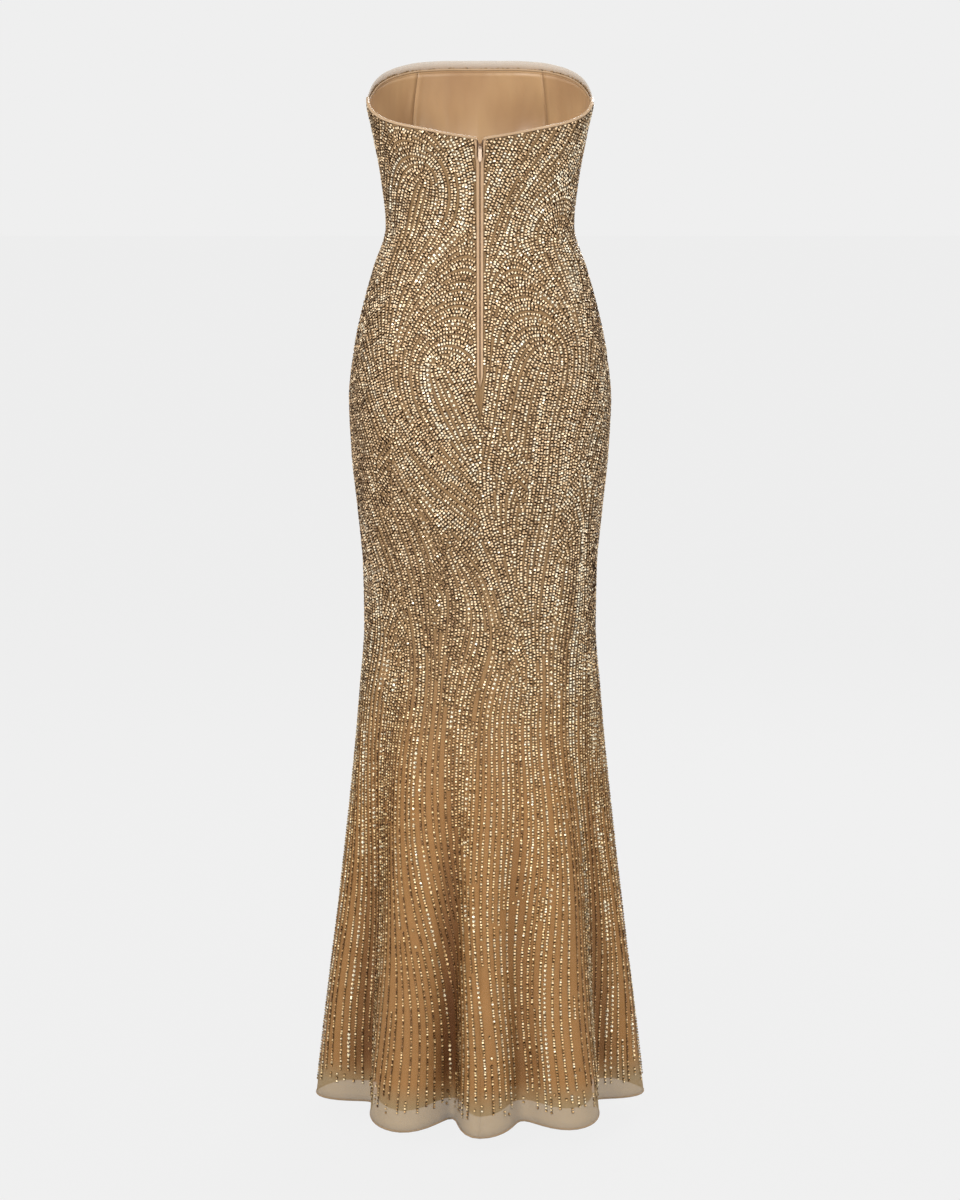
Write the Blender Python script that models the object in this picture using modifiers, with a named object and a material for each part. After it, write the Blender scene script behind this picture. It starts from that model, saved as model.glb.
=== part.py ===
"""A strapless beaded evening gown, standing open as it hangs when worn, with no wearer in it.

Two layers make it: a shell of beaded tulle and a plain lining inside it that stops a little above the
tulle's hem. The back is closed by an invisible zip. Metres, +Z up. The wearer faces +Y, so the zip is
on the -Y side. The origin is the middle of the bodice at the height of the underarms, where it is worn.
"""

from math import cos, pi, radians, sin

import bmesh
import bpy
import numpy as np
from mathutils import Matrix

MM = 0.001

# Driving sizes, in millimetres
HEM_HEIGHT = -1312.0
LINING_HEM_LIFT = 27.0
SHELL_THICKNESS = 2.4
LINING_THICKNESS = 1.0
LAYER_GAP = 1.0
SEAM_GAP = 0.3
SKIRT_LAYER_GAP = 6.0
BINDING_HEIGHT = 3.4
BINDING_PROUD = 0.3
SHEER_EDGE_HEIGHT = 10.5
FRONT_BINDING_HEIGHT = 2.4
FOLD_START_HEIGHT = -760.0
FOLD_GROWTH = 1.35
FOLD_SWAY = 0.4
FOLD_HEM_LIFT = 6.0
HEM_BACK_DIP = 9.0
CUP_HEIGHT = 6.0
CUP_BEARING = 148.0
CUP_BEARING_SPREAD = 20.0
CUP_LEVEL = -40.0
CUP_LEVEL_SPREAD = 42.0

# Columns of the cloth's mesh, the same for both layers so that they stay parallel
QUARTER_COLUMNS = 19
PRINCESS_COLUMNS = 11

# The body of the gown at each height, in millimetres. Depths run from the origin's upright axis.
SECTION_COLUMNS = ("height", "half_width", "back_depth", "front_depth", "squareness")
SECTIONS = (
    (70, 139, 101, 116, 2.3),
    (0, 147, 101, 127, 2.45),
    (-40, 139.5, 96, 131, 2.45),
    (-100, 128.5, 84, 111, 2.35),
    (-160, 122.5, 77, 92, 2.3),
    (-215, 139, 88, 94, 2.25),
    (-270, 154.5, 107, 98, 2.2),
    (-325, 165.5, 123, 101, 2.2),
    (-385, 171.5, 130, 102, 2.2),
    (-455, 168.5, 125, 101, 2.2),
    (-530, 161, 114, 101, 2.2),
    (-610, 154, 108, 103, 2.15),
    (-680, 153, 109, 107, 2.1),
    (-770, 160, 119, 117, 2.1),
    (-900, 173, 141, 136, 2.05),
    (-1060, 191.5, 170, 160, 2.05),
    (-1200, 209, 195, 180, 2.05),
    (-1330, 224.5, 217, 196, 2.05),
)

# The top edge, by bearing from the centre back, the same on both sides.
TOP_EDGE_COLUMNS = ("bearing", "height")
TOP_EDGE = (
    (0, -46),
    (22, -40),
    (39, -33.5),
    (55, -27),
    (67, -19),
    (76, -10),
    (82, -2),
    (90, 5),
    (98, 12),
    (105, 21),
    (113, 31),
    (120, 38),
    (129, 44.5),
    (143, 50.5),
    (160, 52.5),
    (180, 52.5),
)

# The folds of the flared hem, round the gown from centre back. Each row is a crest and the valley that
# follows it, with how far that valley is pushed in at the hem.
FOLD_COLUMNS = ("crest", "valley", "push")
FOLDS = (
    (0, 19, 46),
    (37, 64, 50),
    (86, 101, 46),
    (117, 134, 50),
    (150, 165, 48),
    (180, 195, 48),
    (210, 227, 50),
    (244, 260, 46),
    (276, 300, 54),
    (329, 346, 60),
)

# The rows of the cloth, as heights at the side of the body. The first follows the top edge and the last
# follows the hem.
ROW_HEIGHTS = (0, -12, -32, -58, -88, -118, -145, -172, -200, -232, -268, -310, -346, -360, -420, -490,
               -570, -650, -740, -830, -920, -1010, -1110, -1210, HEM_HEIGHT)
TOP_EDGE_REACH = 200.0
HEM_REACH = 300.0

# The zip, by height at the centre back. The two folded edges part above the slider.
ZIP_TOP_ROW = 1
ZIP_END_ROW = 12
ZIP_COLUMNS = ("row", "fold", "beads")
ZIP_EDGES = (
    (0, 3.2, 7.2),
    (ZIP_TOP_ROW, 0.3, 4.1),
    (ZIP_END_ROW, 0.3, 4.1),
    (ZIP_END_ROW + 1, 0.15, 0.85),
    (ZIP_END_ROW + 2, 0.15, 0),
)
TAPE_DEPTH = 0.7
TAPE_THICKNESS = 2.2

SLIDER_SIZE = (6.0, 2.0, 9.0)
SLIDER_LEAN = 10.0
SLIDER_ROUNDING = 0.6
BAIL_RADIUS = 1.9
BAIL_WIRE = 0.4
BAIL_SINK = 0.6
PULL_LENGTH = 20.0
PULL_HALF_WIDTH = 2.2
PULL_NECK_HALF_WIDTH = 1.5
PULL_HEAD = 0.5
PULL_THICKNESS = 1.0
PULL_WINDOW_HALF_WIDTH = 0.85
PULL_WINDOW_TOP = 0.5
PULL_WINDOW_BOTTOM = 3.4


def column(table, columns, name):
    """One named column of a table."""
    return np.array([row[columns.index(name)] for row in table], float)


def smooth(known, values, at):
    """A smooth curve through a table's points, with no overshoot between them."""
    if known[0] > known[-1]:
        known, values = known[::-1], values[::-1]
    run = np.diff(known)
    slope = np.diff(values) / run
    lean = np.zeros(len(known))
    lean[0], lean[-1] = slope[0], slope[-1]
    product = slope[:-1] * slope[1:]
    total = np.where(product > 0, slope[:-1] + slope[1:], 1.0)
    lean[1:-1] = np.where(product > 0, 2 * product / total, 0.0)
    at = np.clip(at, known[0], known[-1])
    i = np.clip(np.searchsorted(known, at, side="right") - 1, 0, len(run) - 1)
    t = (at - known[i]) / run[i]
    a, b = values[i], values[i + 1]
    la, lb = lean[i] * run[i], lean[i + 1] * run[i]
    return a + t * (la + t * (3 * (b - a) - 2 * la - lb + t * (la + lb - 2 * (b - a))))


def ease(t):
    """0 to 1 with a soft start and end."""
    t = np.clip(t, 0, 1)
    return t * t * (3 - 2 * t)


def wrapped(bearing):
    """A bearing as 0 to 360 degrees."""
    return np.mod(bearing, 360.0)


def top_height(bearing):
    """Height of the top edge at a bearing."""
    turn = wrapped(bearing)
    turn = np.minimum(turn, 360 - turn)
    known = column(TOP_EDGE, TOP_EDGE_COLUMNS, "bearing")
    return smooth(known, column(TOP_EDGE, TOP_EDGE_COLUMNS, "height"), turn)


def fold_phase(bearing):
    """How far through the hem's folds a bearing is: 0 at a crest, pi at the valley after it, and on."""
    crests = column(FOLDS, FOLD_COLUMNS, "crest")
    valleys = column(FOLDS, FOLD_COLUMNS, "valley")
    stops = np.ravel(np.column_stack([crests, valleys]))
    stops = np.concatenate([stops[-2:] - 360, stops, stops[:3] + 360])
    phases = pi * (np.arange(len(stops)) - 2.0)
    return smooth(stops, phases, bearing)


def fold_wave(bearing):
    """The folds' phase at a bearing, how far round the cloth sways there at full strength, in radians,
    and how far its valley is pushed in."""
    turn = wrapped(bearing)
    phase = fold_phase(turn)
    pace = (fold_phase(turn + 0.5) - fold_phase(turn - 0.5)) / radians(1)
    push = column(FOLDS, FOLD_COLUMNS, "push")
    here = np.floor(phase / (2 * pi)).astype(int) % len(FOLDS)
    return phase, FOLD_SWAY * np.sin(phase) / pace, push[here]


def fold_strength(height):
    """0 above the folds, growing to 1 at the hem."""
    share = (FOLD_START_HEIGHT - height) / (FOLD_START_HEIGHT - HEM_HEIGHT)
    return np.clip(share, 0, 1.05) ** FOLD_GROWTH


def row_height(row, bearing):
    """Height of a row of the cloth at a bearing, between the top edge and the hem."""
    level = np.interp(row, np.arange(len(ROW_HEIGHTS)), ROW_HEIGHTS)
    phase, _, _ = fold_wave(bearing)
    valley = (1 - np.cos(phase)) / 2
    near_top = ease(1 + level / TOP_EDGE_REACH)
    near_hem = ease((HEM_HEIGHT + HEM_REACH - level) / HEM_REACH)
    at_hem = FOLD_HEM_LIFT * valley - HEM_BACK_DIP * (1 + np.cos(np.radians(bearing))) / 2
    return level + top_height(bearing) * near_top + at_hem * near_hem


def form(bearing, height):
    """The outermost face of the gown in millimetres, as x, y and z."""
    heights = column(SECTIONS, SECTION_COLUMNS, "height")
    width, back, front, square = (
        smooth(heights, column(SECTIONS, SECTION_COLUMNS, name), height)
        for name in SECTION_COLUMNS[1:]
    )
    strength = fold_strength(height)
    phase, sway, push = fold_wave(bearing)
    turn = np.radians(bearing) + strength * sway
    across, out = np.sin(turn), -np.cos(turn)
    depth = back + (front - back) * ease((out + 0.35) / 0.7)
    radius = (np.abs(across / width) ** square + np.abs(out / depth) ** square) ** (-1 / square)
    radius = radius - push * strength * (1 - np.cos(phase)) / 2
    turned = wrapped(bearing)
    side = np.minimum(turned, 360 - turned)
    cup = np.exp(-(((side - CUP_BEARING) / CUP_BEARING_SPREAD) ** 2))
    cup = cup * np.exp(-(((height - CUP_LEVEL) / CUP_LEVEL_SPREAD) ** 2))
    radius = radius + CUP_HEIGHT * cup
    return np.stack([across * radius, out * radius, height + 0 * radius], axis=-1)


def outward(bearing, height):
    """The cloth's outward direction."""
    round_it = form(bearing + 0.05, height) - form(bearing - 0.05, height)
    down_it = form(bearing, height - 0.5) - form(bearing, height + 0.5)
    normal = np.cross(down_it, round_it)
    return normal / np.linalg.norm(normal, axis=-1, keepdims=True)


def cloth_point(bearing, height, depth):
    """A point that deep inside the gown's outermost face, in metres."""
    return (form(bearing, height) - outward(bearing, height) * np.asarray(depth)[..., None]) * MM


def bearing_of(offset, height, base):
    """The bearing that lies offset millimetres round the cloth from a seam's bearing, at a height."""
    step = 0.05
    ahead = form(base + step, height) - form(base - step, height)
    return base + offset * 2 * step / np.linalg.norm(ahead, axis=-1)


def material(name, colour, roughness, metallic=0.0):
    """A plain Principled material."""
    made = bpy.data.materials.new(name)
    made.use_nodes = True
    shader = made.node_tree.nodes["Principled BSDF"]
    shader.inputs["Base Color"].default_value = (*colour, 1)
    shader.inputs["Roughness"].default_value = roughness
    shader.inputs["Metallic"].default_value = metallic
    return made


def place(name, mesh, collection, finish):
    """A mesh as a named object of the gown."""
    made = bpy.data.objects.new(name, mesh)
    made.data.materials.clear()
    made.data.materials.append(finish)
    collection.objects.link(made)
    return made


def pattern_piece(name, columns, rows, at, collection, finish):
    """A cut piece of cloth. It starts flat, as a grid with a second face one unit behind it, and each
    point is then moved to its place by at(share across, share down, 0 for the face or 1 for the back)."""
    flat = bmesh.new()
    bmesh.ops.create_grid(flat, x_segments=columns, y_segments=rows, size=0.5)
    behind = bmesh.ops.extrude_face_region(flat, geom=flat.faces[:], use_keep_orig=True)
    for item in behind["geom"]:
        if isinstance(item, bmesh.types.BMVert):
            item.co.z = -1.0
    bmesh.ops.recalc_face_normals(flat, faces=flat.faces)
    points = np.array([vert.co for vert in flat.verts])
    moved = at(points[:, 0] + 0.5, 0.5 - points[:, 1], -points[:, 2])
    for vert, point in zip(flat.verts, moved):
        vert.co = point
    mesh = bpy.data.meshes.new(name)
    flat.to_mesh(mesh)
    flat.free()
    mesh.shade_smooth()
    mesh.set_sharp_from_angle(angle=radians(40))
    return place(name, mesh, collection, finish)


def zip_edge(row, name):
    """How far from the zip's middle an edge lies at each row: the folded edge or the first beads."""
    rows = column(ZIP_EDGES, ZIP_COLUMNS, "row")
    return np.interp(row, rows, column(ZIP_EDGES, ZIP_COLUMNS, name))


def seam_bearing(base, side, row, height, at_zip):
    """The bearing of a panel's edge at a seam, on the side of it that side gives, 1 or -1."""
    offset = SEAM_GAP / 2 + 0 * height
    if at_zip:
        offset = zip_edge(row, "beads") + (SEAM_GAP / 2 if at_zip == "shell" else -0.8)
        offset = np.maximum(offset, SEAM_GAP / 2)
    return bearing_of(side * offset, height, base)


def edge_drop(layer, bearing):
    """How far below the top edge a layer's own top lies."""
    turn = wrapped(bearing)
    turn = np.minimum(turn, 360 - turn)
    in_front = turn > 90
    lining_front = SHEER_EDGE_HEIGHT * ease((turn - 84) / 24) + BINDING_HEIGHT
    if layer == "shell":
        return np.where(in_front, 0.0, BINDING_HEIGHT + SEAM_GAP)
    return np.where(in_front, lining_front + SEAM_GAP, BINDING_HEIGHT + SEAM_GAP)


def layer_depths(layer, height):
    """Depth of a layer's face and back inside the outermost face of the gown."""
    if layer == "shell":
        return 0.0 * height, SHELL_THICKNESS + 0.0 * height
    face = SHELL_THICKNESS + LAYER_GAP + SKIRT_LAYER_GAP * fold_strength(height)
    return face, face + LINING_THICKNESS


def panel(name, layer, start, end, columns, collection, finish):
    """A panel of the shell or the lining between two seams. Each seam is a bearing and whether the zip
    opens it."""
    rows = len(ROW_HEIGHTS) - 1

    def at(across, down, back):
        row = down * rows
        middle = start[0] + (end[0] - start[0]) * across
        height = row_height(row, middle)
        drop = edge_drop(layer, start[0] + (end[0] - start[0]) * np.clip(across, 0.01, 0.99))
        height = height - drop * ease(1 - row / 2)
        if layer == "lining":
            height = height + LINING_HEM_LIFT * ease((row - rows + 3) / 3)
        first = seam_bearing(start[0], 1, row, height, start[1] and layer)
        last = seam_bearing(end[0], -1, row, height, end[1] and layer)
        bearing = first + (last - first) * across
        face, rear = layer_depths(layer, height)
        return cloth_point(bearing, height, face + (rear - face) * back)

    return pattern_piece(name, columns, rows, at, collection, finish)


def binding(name, start, end, columns, drop, height_of, depths, collection, finish):
    """A narrow folded strip along the top edge between two bearings."""

    def at(across, down, back):
        middle = start + (end - start) * across
        top = row_height(0, middle) - drop(middle)
        height = top - height_of * down
        inset = SEAM_GAP / 2 + 0 * middle
        zip_side = zip_edge(0, "fold")
        first = bearing_of(np.where(start % 360 == 0, zip_side, inset), height, start)
        last = bearing_of(-np.where(end % 360 == 0, zip_side, inset), height, end)
        bearing = first + (last - first) * across
        return cloth_point(bearing, height, depths[0] + (depths[1] - depths[0]) * back)

    return pattern_piece(name, columns, 1, at, collection, finish)


def zip_tape(name, side, collection, finish):
    """One folded edge of the zip, a plain strip with no beads, from the top edge to the zip's end."""

    def at(across, down, back):
        row = down * (ZIP_END_ROW + 1)
        base = 0.0 * row
        height = row_height(row, base) - (BINDING_HEIGHT + SEAM_GAP) * ease(1 - row / 2)
        fold = zip_edge(row, "fold")
        beads = zip_edge(row, "beads") - SEAM_GAP / 2
        share = across if side > 0 else 1 - across
        offset = side * (fold + (beads - fold) * share)
        bearing = bearing_of(offset, height, base)
        return cloth_point(bearing, height, TAPE_DEPTH + (TAPE_THICKNESS - TAPE_DEPTH) * back)

    return pattern_piece(name, 1, ZIP_END_ROW + 1, at, collection, finish)


def slider_place():
    """Where the slider sits: its height at the centre back and the y of the zip's face there."""
    height = float(row_height(ZIP_TOP_ROW, 0.0))
    return height, float(form(0.0, height)[1]) + TAPE_DEPTH


def tube(name, points, radius, collection):
    """A closed round wire through points, as a mesh object."""
    line = bpy.data.curves.new(name, "CURVE")
    line.dimensions = "3D"
    line.bevel_depth = radius
    line.bevel_resolution = 2
    line.use_fill_caps = True
    spline = line.splines.new("POLY")
    spline.points.add(len(points) - 1)
    for knot, point in zip(spline.points, points):
        knot.co = (*point, 1)
    curve = bpy.data.objects.new(name + "_line", line)
    collection.objects.link(curve)
    bpy.context.view_layer.update()
    evaluated = curve.evaluated_get(bpy.context.evaluated_depsgraph_get())
    mesh = bpy.data.meshes.new_from_object(evaluated)
    bpy.data.objects.remove(curve)
    welded = bmesh.new()
    welded.from_mesh(mesh)
    bmesh.ops.remove_doubles(welded, verts=welded.verts, dist=1e-6)
    welded.to_mesh(mesh)
    welded.free()
    made = bpy.data.objects.new(name, mesh)
    collection.objects.link(made)
    return made


def zip_slider(collection, cutters, finish):
    """The slider: a rounded block on the zip with a wire bail that carries the pull."""
    height, face = slider_place()
    width, thick, long = (size * MM for size in SLIDER_SIZE)
    mesh = bpy.data.meshes.new("zip_slider")
    block = bmesh.new()
    bmesh.ops.create_cube(block, size=1.0)
    bmesh.ops.scale(block, vec=(width, thick, long), verts=block.verts)
    block.to_mesh(mesh)
    block.free()
    slider = place("zip_slider", mesh, collection, finish)
    slider.rotation_euler.x = radians(SLIDER_LEAN)
    slider.location = (0, (face - 0.6) * MM - thick / 2, height * MM)
    rounding = slider.modifiers.new("rounded edges", "BEVEL")
    rounding.width = SLIDER_ROUNDING * MM
    rounding.segments = 2
    arc = [radians(90 - 180 * step / 12) for step in range(13)]
    pivot = pull_pivot()
    reach = slider.location.y + BAIL_SINK * MM - pivot[1]
    points = [(0, pivot[1] + reach, pivot[2] + BAIL_RADIUS * MM)]
    points += [
        (0, pivot[1] - BAIL_RADIUS * MM * cos(turn), pivot[2] + BAIL_RADIUS * MM * sin(turn))
        for turn in arc
    ]
    points += [(0, pivot[1] + reach, pivot[2] - BAIL_RADIUS * MM)]
    bail = tube("bail_wire", points, BAIL_WIRE * MM, cutters)
    bail.hide_render = True
    bail.display_type = "WIRE"
    joined = slider.modifiers.new("bail", "BOOLEAN")
    joined.operation = "UNION"
    joined.object = bail
    return slider


def pull_pivot():
    """The axis that the pull swings on, as a point in metres."""
    height, face = slider_place()
    out = face - 0.6 - SLIDER_SIZE[1] - 0.9 - PULL_THICKNESS / 2
    return 0.0, out * MM, height * MM


def pull_outline():
    """The pull's teardrop outline, hanging from its pivot, and the window that the bail passes through."""
    side = []
    steps = 16
    for step in range(steps + 1):
        down = step / steps
        swell = PULL_NECK_HALF_WIDTH + (PULL_HALF_WIDTH - PULL_NECK_HALF_WIDTH) * sin(pi * min(1, down * 0.9))
        round_end = min(1.0, ((1 - down) / 0.12) ** 0.5) if down > 0.88 else 1.0
        round_top = min(1.0, 0.75 + 0.25 * (down / 0.06) ** 0.5) if down < 0.06 else 1.0
        side.append((swell * round_end * round_top, PULL_HEAD - down * PULL_LENGTH))
    outline = side[:-1] + [(0.0, side[-1][1])] + [(-x, z) for x, z in side[:-1][::-1]]
    middle = (PULL_WINDOW_TOP + PULL_WINDOW_BOTTOM) / 2
    half = (PULL_WINDOW_BOTTOM - PULL_WINDOW_TOP) / 2
    window = [
        (PULL_WINDOW_HALF_WIDTH * x, -middle + half * z)
        for x, z in ((1, 1), (1, -0.6), (0.6, -1), (-0.6, -1), (-1, -0.6), (-1, 1))
    ]
    return outline, window


def zip_pull(collection, finish):
    """The pull: a flat teardrop on the slider's bail, with its origin on the axis that it swings on."""
    flat = bpy.data.curves.new("zip_pull", "CURVE")
    flat.dimensions = "2D"
    flat.fill_mode = "BOTH"
    flat.extrude = PULL_THICKNESS / 2 * MM
    for loop in pull_outline():
        spline = flat.splines.new("POLY")
        spline.points.add(len(loop) - 1)
        for knot, (x, z) in zip(spline.points, loop):
            knot.co = (x * MM, z * MM, 0, 1)
        spline.use_cyclic_u = True
    pull = bpy.data.objects.new("zip_pull", flat)
    flat.materials.append(finish)
    collection.objects.link(pull)
    pull.matrix_world = Matrix.Translation(pull_pivot()) @ Matrix.Rotation(radians(90), 4, "X")
    return pull


def main():
    for old in list(bpy.data.objects):
        bpy.data.objects.remove(old)
    gown = bpy.data.collections.new("beaded_gown")
    cutters = bpy.data.collections.new("cutters")
    for made in (gown, cutters):
        bpy.context.scene.collection.children.link(made)

    beaded = material("beaded_tulle", (0.42, 0.29, 0.15), 0.35, 0.6)
    plain = material("lining_cloth", (0.50, 0.33, 0.18), 0.6)
    metal = material("zip_metal", (0.62, 0.45, 0.30), 0.3, 0.5)

    quarter = QUARTER_COLUMNS
    panel("shell_front", "shell", (90, False), (270, False), 2 * quarter, gown, beaded)
    panel("shell_back_right", "shell", (0, True), (90, False), quarter, gown, beaded)
    panel("shell_back_left", "shell", (270, False), (360, True), quarter, gown, beaded)

    princess = 90 + 90 * PRINCESS_COLUMNS / quarter
    side_columns = PRINCESS_COLUMNS
    middle_columns = 2 * (quarter - PRINCESS_COLUMNS)
    panel("lining_front_centre", "lining", (princess, False), (360 - princess, False), middle_columns,
          gown, plain)
    panel("lining_front_right", "lining", (90, False), (princess, False), side_columns, gown, plain)
    panel("lining_front_left", "lining", (360 - princess, False), (270, False), side_columns, gown, plain)
    panel("lining_back_right", "lining", (0, True), (90, False), quarter, gown, plain)
    panel("lining_back_left", "lining", (270, False), (360, True), quarter, gown, plain)

    folded = (-BINDING_PROUD, SHELL_THICKNESS + LAYER_GAP + LINING_THICKNESS)
    binding("top_binding_back_right", 0, 90, quarter, lambda b: 0 * b, BINDING_HEIGHT, folded, gown, plain)
    binding("top_binding_back_left", 270, 360, quarter, lambda b: 0 * b, BINDING_HEIGHT, folded, gown, plain)
    rolled = (SHELL_THICKNESS + LAYER_GAP - 0.2, SHELL_THICKNESS + LAYER_GAP + LINING_THICKNESS + 0.4)
    binding("top_binding_front", 90, 270, 2 * quarter,
            lambda b: edge_drop("lining", np.clip(b, 90.5, 269.5)) - SEAM_GAP - FRONT_BINDING_HEIGHT,
            FRONT_BINDING_HEIGHT, rolled, gown, plain)

    zip_tape("zip_tape_right", 1, gown, plain)
    zip_tape("zip_tape_left", -1, gown, plain)
    zip_slider(gown, cutters, metal)
    zip_pull(gown, metal)


main()
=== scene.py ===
"""The look of a strapless beaded evening gown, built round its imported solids.

It is seen from behind, open as when worn, with no wearer. Lengths of the cut are in millimetres,
and everything made from it is in metres, in the frame of the solids.
"""

from math import atan2, cos, pi, radians, sin, tau
from random import Random

import bmesh
import bpy
import numpy as np
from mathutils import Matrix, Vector


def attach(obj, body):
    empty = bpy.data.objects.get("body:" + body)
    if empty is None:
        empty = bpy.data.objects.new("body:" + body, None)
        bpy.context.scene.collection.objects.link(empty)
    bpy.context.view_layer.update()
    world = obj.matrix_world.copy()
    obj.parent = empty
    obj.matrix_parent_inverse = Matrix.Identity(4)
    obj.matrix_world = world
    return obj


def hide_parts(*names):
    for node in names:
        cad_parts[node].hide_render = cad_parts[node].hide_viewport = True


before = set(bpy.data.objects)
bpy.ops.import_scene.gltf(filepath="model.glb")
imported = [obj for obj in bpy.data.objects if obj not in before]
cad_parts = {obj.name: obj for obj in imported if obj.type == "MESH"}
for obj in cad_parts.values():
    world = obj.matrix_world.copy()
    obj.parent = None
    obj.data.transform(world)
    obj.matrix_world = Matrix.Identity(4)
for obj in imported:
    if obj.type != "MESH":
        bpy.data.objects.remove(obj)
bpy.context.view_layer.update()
MM = 0.001


# The room: a pale floor that runs out of sight, two soft boxes before the gown, one above it, one
# behind and one at each side, and a camera at chest height, tilted down to take in the whole gown.
CAMERA_DISTANCE = 4.45
CAMERA_TILT = 8.4
CAMERA_AIM = Vector((0, 0, -0.652))
PHOTO_HEIGHT_M = 1200 * 1.32 * MM
FLOOR_HEIGHT = -1.345
PALE_GREY = (0.863, 0.863, 0.863, 1)
# Each soft box: its name, its place, its width and height, and its watts.
SOFT_BOXES = (
    ("key", (-1.9, -3.3, 1.0), 1.4, 1.7, 124),
    ("fill", (2.2, -3.4, 0.3), 1.4, 1.8, 78),
    ("top", (0.1, -0.5, 1.8), 1.5, 0.9, 13),
    ("back", (0.9, 2.6, 1.0), 1.6, 1.6, 88),
    ("left_side", (-3.1, 0.2, 0.3), 1.2, 2.2, 30),
    ("right_side", (3.1, 0.2, 0.3), 1.2, 2.2, 30),
)


def placed(name, data):
    """A new object in the scene, from its mesh, light or camera."""
    made = bpy.data.objects.new(name, data)
    bpy.context.scene.collection.objects.link(made)
    return made


def set_inputs(node, inputs):
    """Gives a node's inputs their values, or links them to another node's output."""
    for socket, source in inputs.items():
        if isinstance(source, (int, float, str, tuple)):
            node.inputs[socket].default_value = source
        else:
            node.id_data.links.new(source, node.inputs[socket])


def node_adder(tree, family="ShaderNode"):
    """A way to add nodes to a tree, each with its inputs and its settings."""

    def add(kind, inputs=None, **settings):
        node = tree.nodes.new(family + kind)
        for key, value in settings.items():
            setattr(node, key, value)
        set_inputs(node, inputs or {})
        return node

    return add


def add_camera():
    lens = bpy.data.cameras.new("photo_camera")
    lens.sensor_fit = "VERTICAL"
    lens.lens = lens.sensor_height * CAMERA_DISTANCE / PHOTO_HEIGHT_M
    camera = placed("photo_camera", lens)
    tilt = radians(CAMERA_TILT)
    camera.location = CAMERA_AIM + Vector((0, -cos(tilt), sin(tilt))) * CAMERA_DISTANCE
    camera.rotation_euler = (pi / 2 - tilt, 0, 0)
    bpy.context.scene.camera = camera


def add_soft_box(name, place, width, height, watts):
    light = bpy.data.lights.new(name, "AREA")
    light.shape = "RECTANGLE"
    light.size, light.size_y = width, height
    light.energy = watts
    box = placed(name, light)
    box.location = place
    box.rotation_euler = (CAMERA_AIM - Vector(place)).to_track_quat("-Z", "Y").to_euler()


def add_surroundings():
    """Beyond the floor the camera sees a pale grey, and the gown is lit by a faint warm sky."""
    world = bpy.data.worlds.new("studio")
    world.use_nodes = True
    world.node_tree.nodes.clear()
    add = node_adder(world.node_tree)
    lit = add("Background", {"Color": (1.0, 0.97, 0.93, 1), "Strength": 0.25})
    seen = add("Background", {"Color": PALE_GREY})
    mix = add("MixShader", {"Fac": add("LightPath").outputs["Is Camera Ray"], 1: lit.outputs[0],
                            2: seen.outputs[0]})
    add("OutputWorld", {"Surface": mix.outputs[0]})
    bpy.context.scene.world = world
    bpy.context.scene.view_settings.view_transform = "Standard"

    mesh = bpy.data.meshes.new("floor")
    sheet = bmesh.new()
    bmesh.ops.create_grid(sheet, x_segments=1, y_segments=1, size=30)
    sheet.to_mesh(mesh)
    sheet.free()
    floor = placed("floor", mesh)
    floor.location.z = FLOOR_HEIGHT
    paint = bpy.data.materials.new("pale_floor")
    paint.use_nodes = True
    paint.node_tree.nodes.clear()
    add = node_adder(paint.node_tree)
    glow = add("Emission", {"Color": PALE_GREY, "Strength": 1.01})
    matt = add("BsdfDiffuse", {"Color": (0.55, 0.55, 0.55, 1)})
    share = add("Math", {0: add("LightPath").outputs["Is Camera Ray"], 1: 0.97},
                operation="MULTIPLY")
    mix = add("MixShader", {"Fac": share.outputs[0], 1: matt.outputs[0], 2: glow.outputs[0]})
    add("OutputMaterial", {"Surface": mix.outputs[0]})
    mesh.materials.append(paint)


add_camera()
for row in SOFT_BOXES:
    add_soft_box(*row)
add_surroundings()


# The lining: tan satin in five pieces, with a princess seam each side of the front. The cut is
# worked out here, as this is the layer that fits, and the other layers are laid over its form.
HEM_HEIGHT = -1312.0
SECTION_COLUMNS = ("height", "half_width", "back_depth", "front_depth", "squareness")
SECTIONS = (
    (70, 139, 101, 116, 2.3),
    (0, 147, 101, 127, 2.45),
    (-40, 139.5, 96, 131, 2.45),
    (-100, 128.5, 84, 111, 2.35),
    (-160, 122.5, 77, 92, 2.3),
    (-215, 139, 88, 94, 2.25),
    (-270, 154.5, 107, 98, 2.2),
    (-325, 165.5, 123, 101, 2.2),
    (-385, 171.5, 130, 102, 2.2),
    (-455, 168.5, 125, 101, 2.2),
    (-530, 161, 114, 101, 2.2),
    (-610, 154, 108, 103, 2.15),
    (-680, 153, 109, 107, 2.1),
    (-770, 160, 119, 117, 2.1),
    (-900, 173, 141, 136, 2.05),
    (-1060, 191.5, 170, 160, 2.05),
    (-1200, 209, 195, 180, 2.05),
    (-1330, 224.5, 217, 196, 2.05),
)
TOP_EDGE_COLUMNS = ("bearing", "height")
TOP_EDGE = (
    (0, -46), (22, -40), (39, -33.5), (55, -27), (67, -19), (76, -10), (82, -2), (90, 5), (98, 12),
    (105, 21), (113, 31), (120, 38), (129, 44.5), (143, 50.5), (160, 52.5), (180, 52.5),
)
FOLD_COLUMNS = ("crest", "valley", "push")
FOLDS = (
    (0, 19, 46), (37, 64, 50), (86, 101, 46), (117, 134, 50), (150, 165, 48), (180, 195, 48),
    (210, 227, 50), (244, 260, 46), (276, 300, 54), (329, 346, 60),
)
SIDE_BLEND = 0.35
DEEP_PUSH = 58
FOLD_START_HEIGHT = -760.0
FOLD_GROWTH = 1.35
FOLD_SWAY = 0.4
FOLD_HEM_LIFT = 6.0
HEM_BACK_DIP = 9.0
TOP_EDGE_REACH = 200.0
HEM_REACH = 300.0
EDGE_DROP_REACH = 32.0
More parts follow.
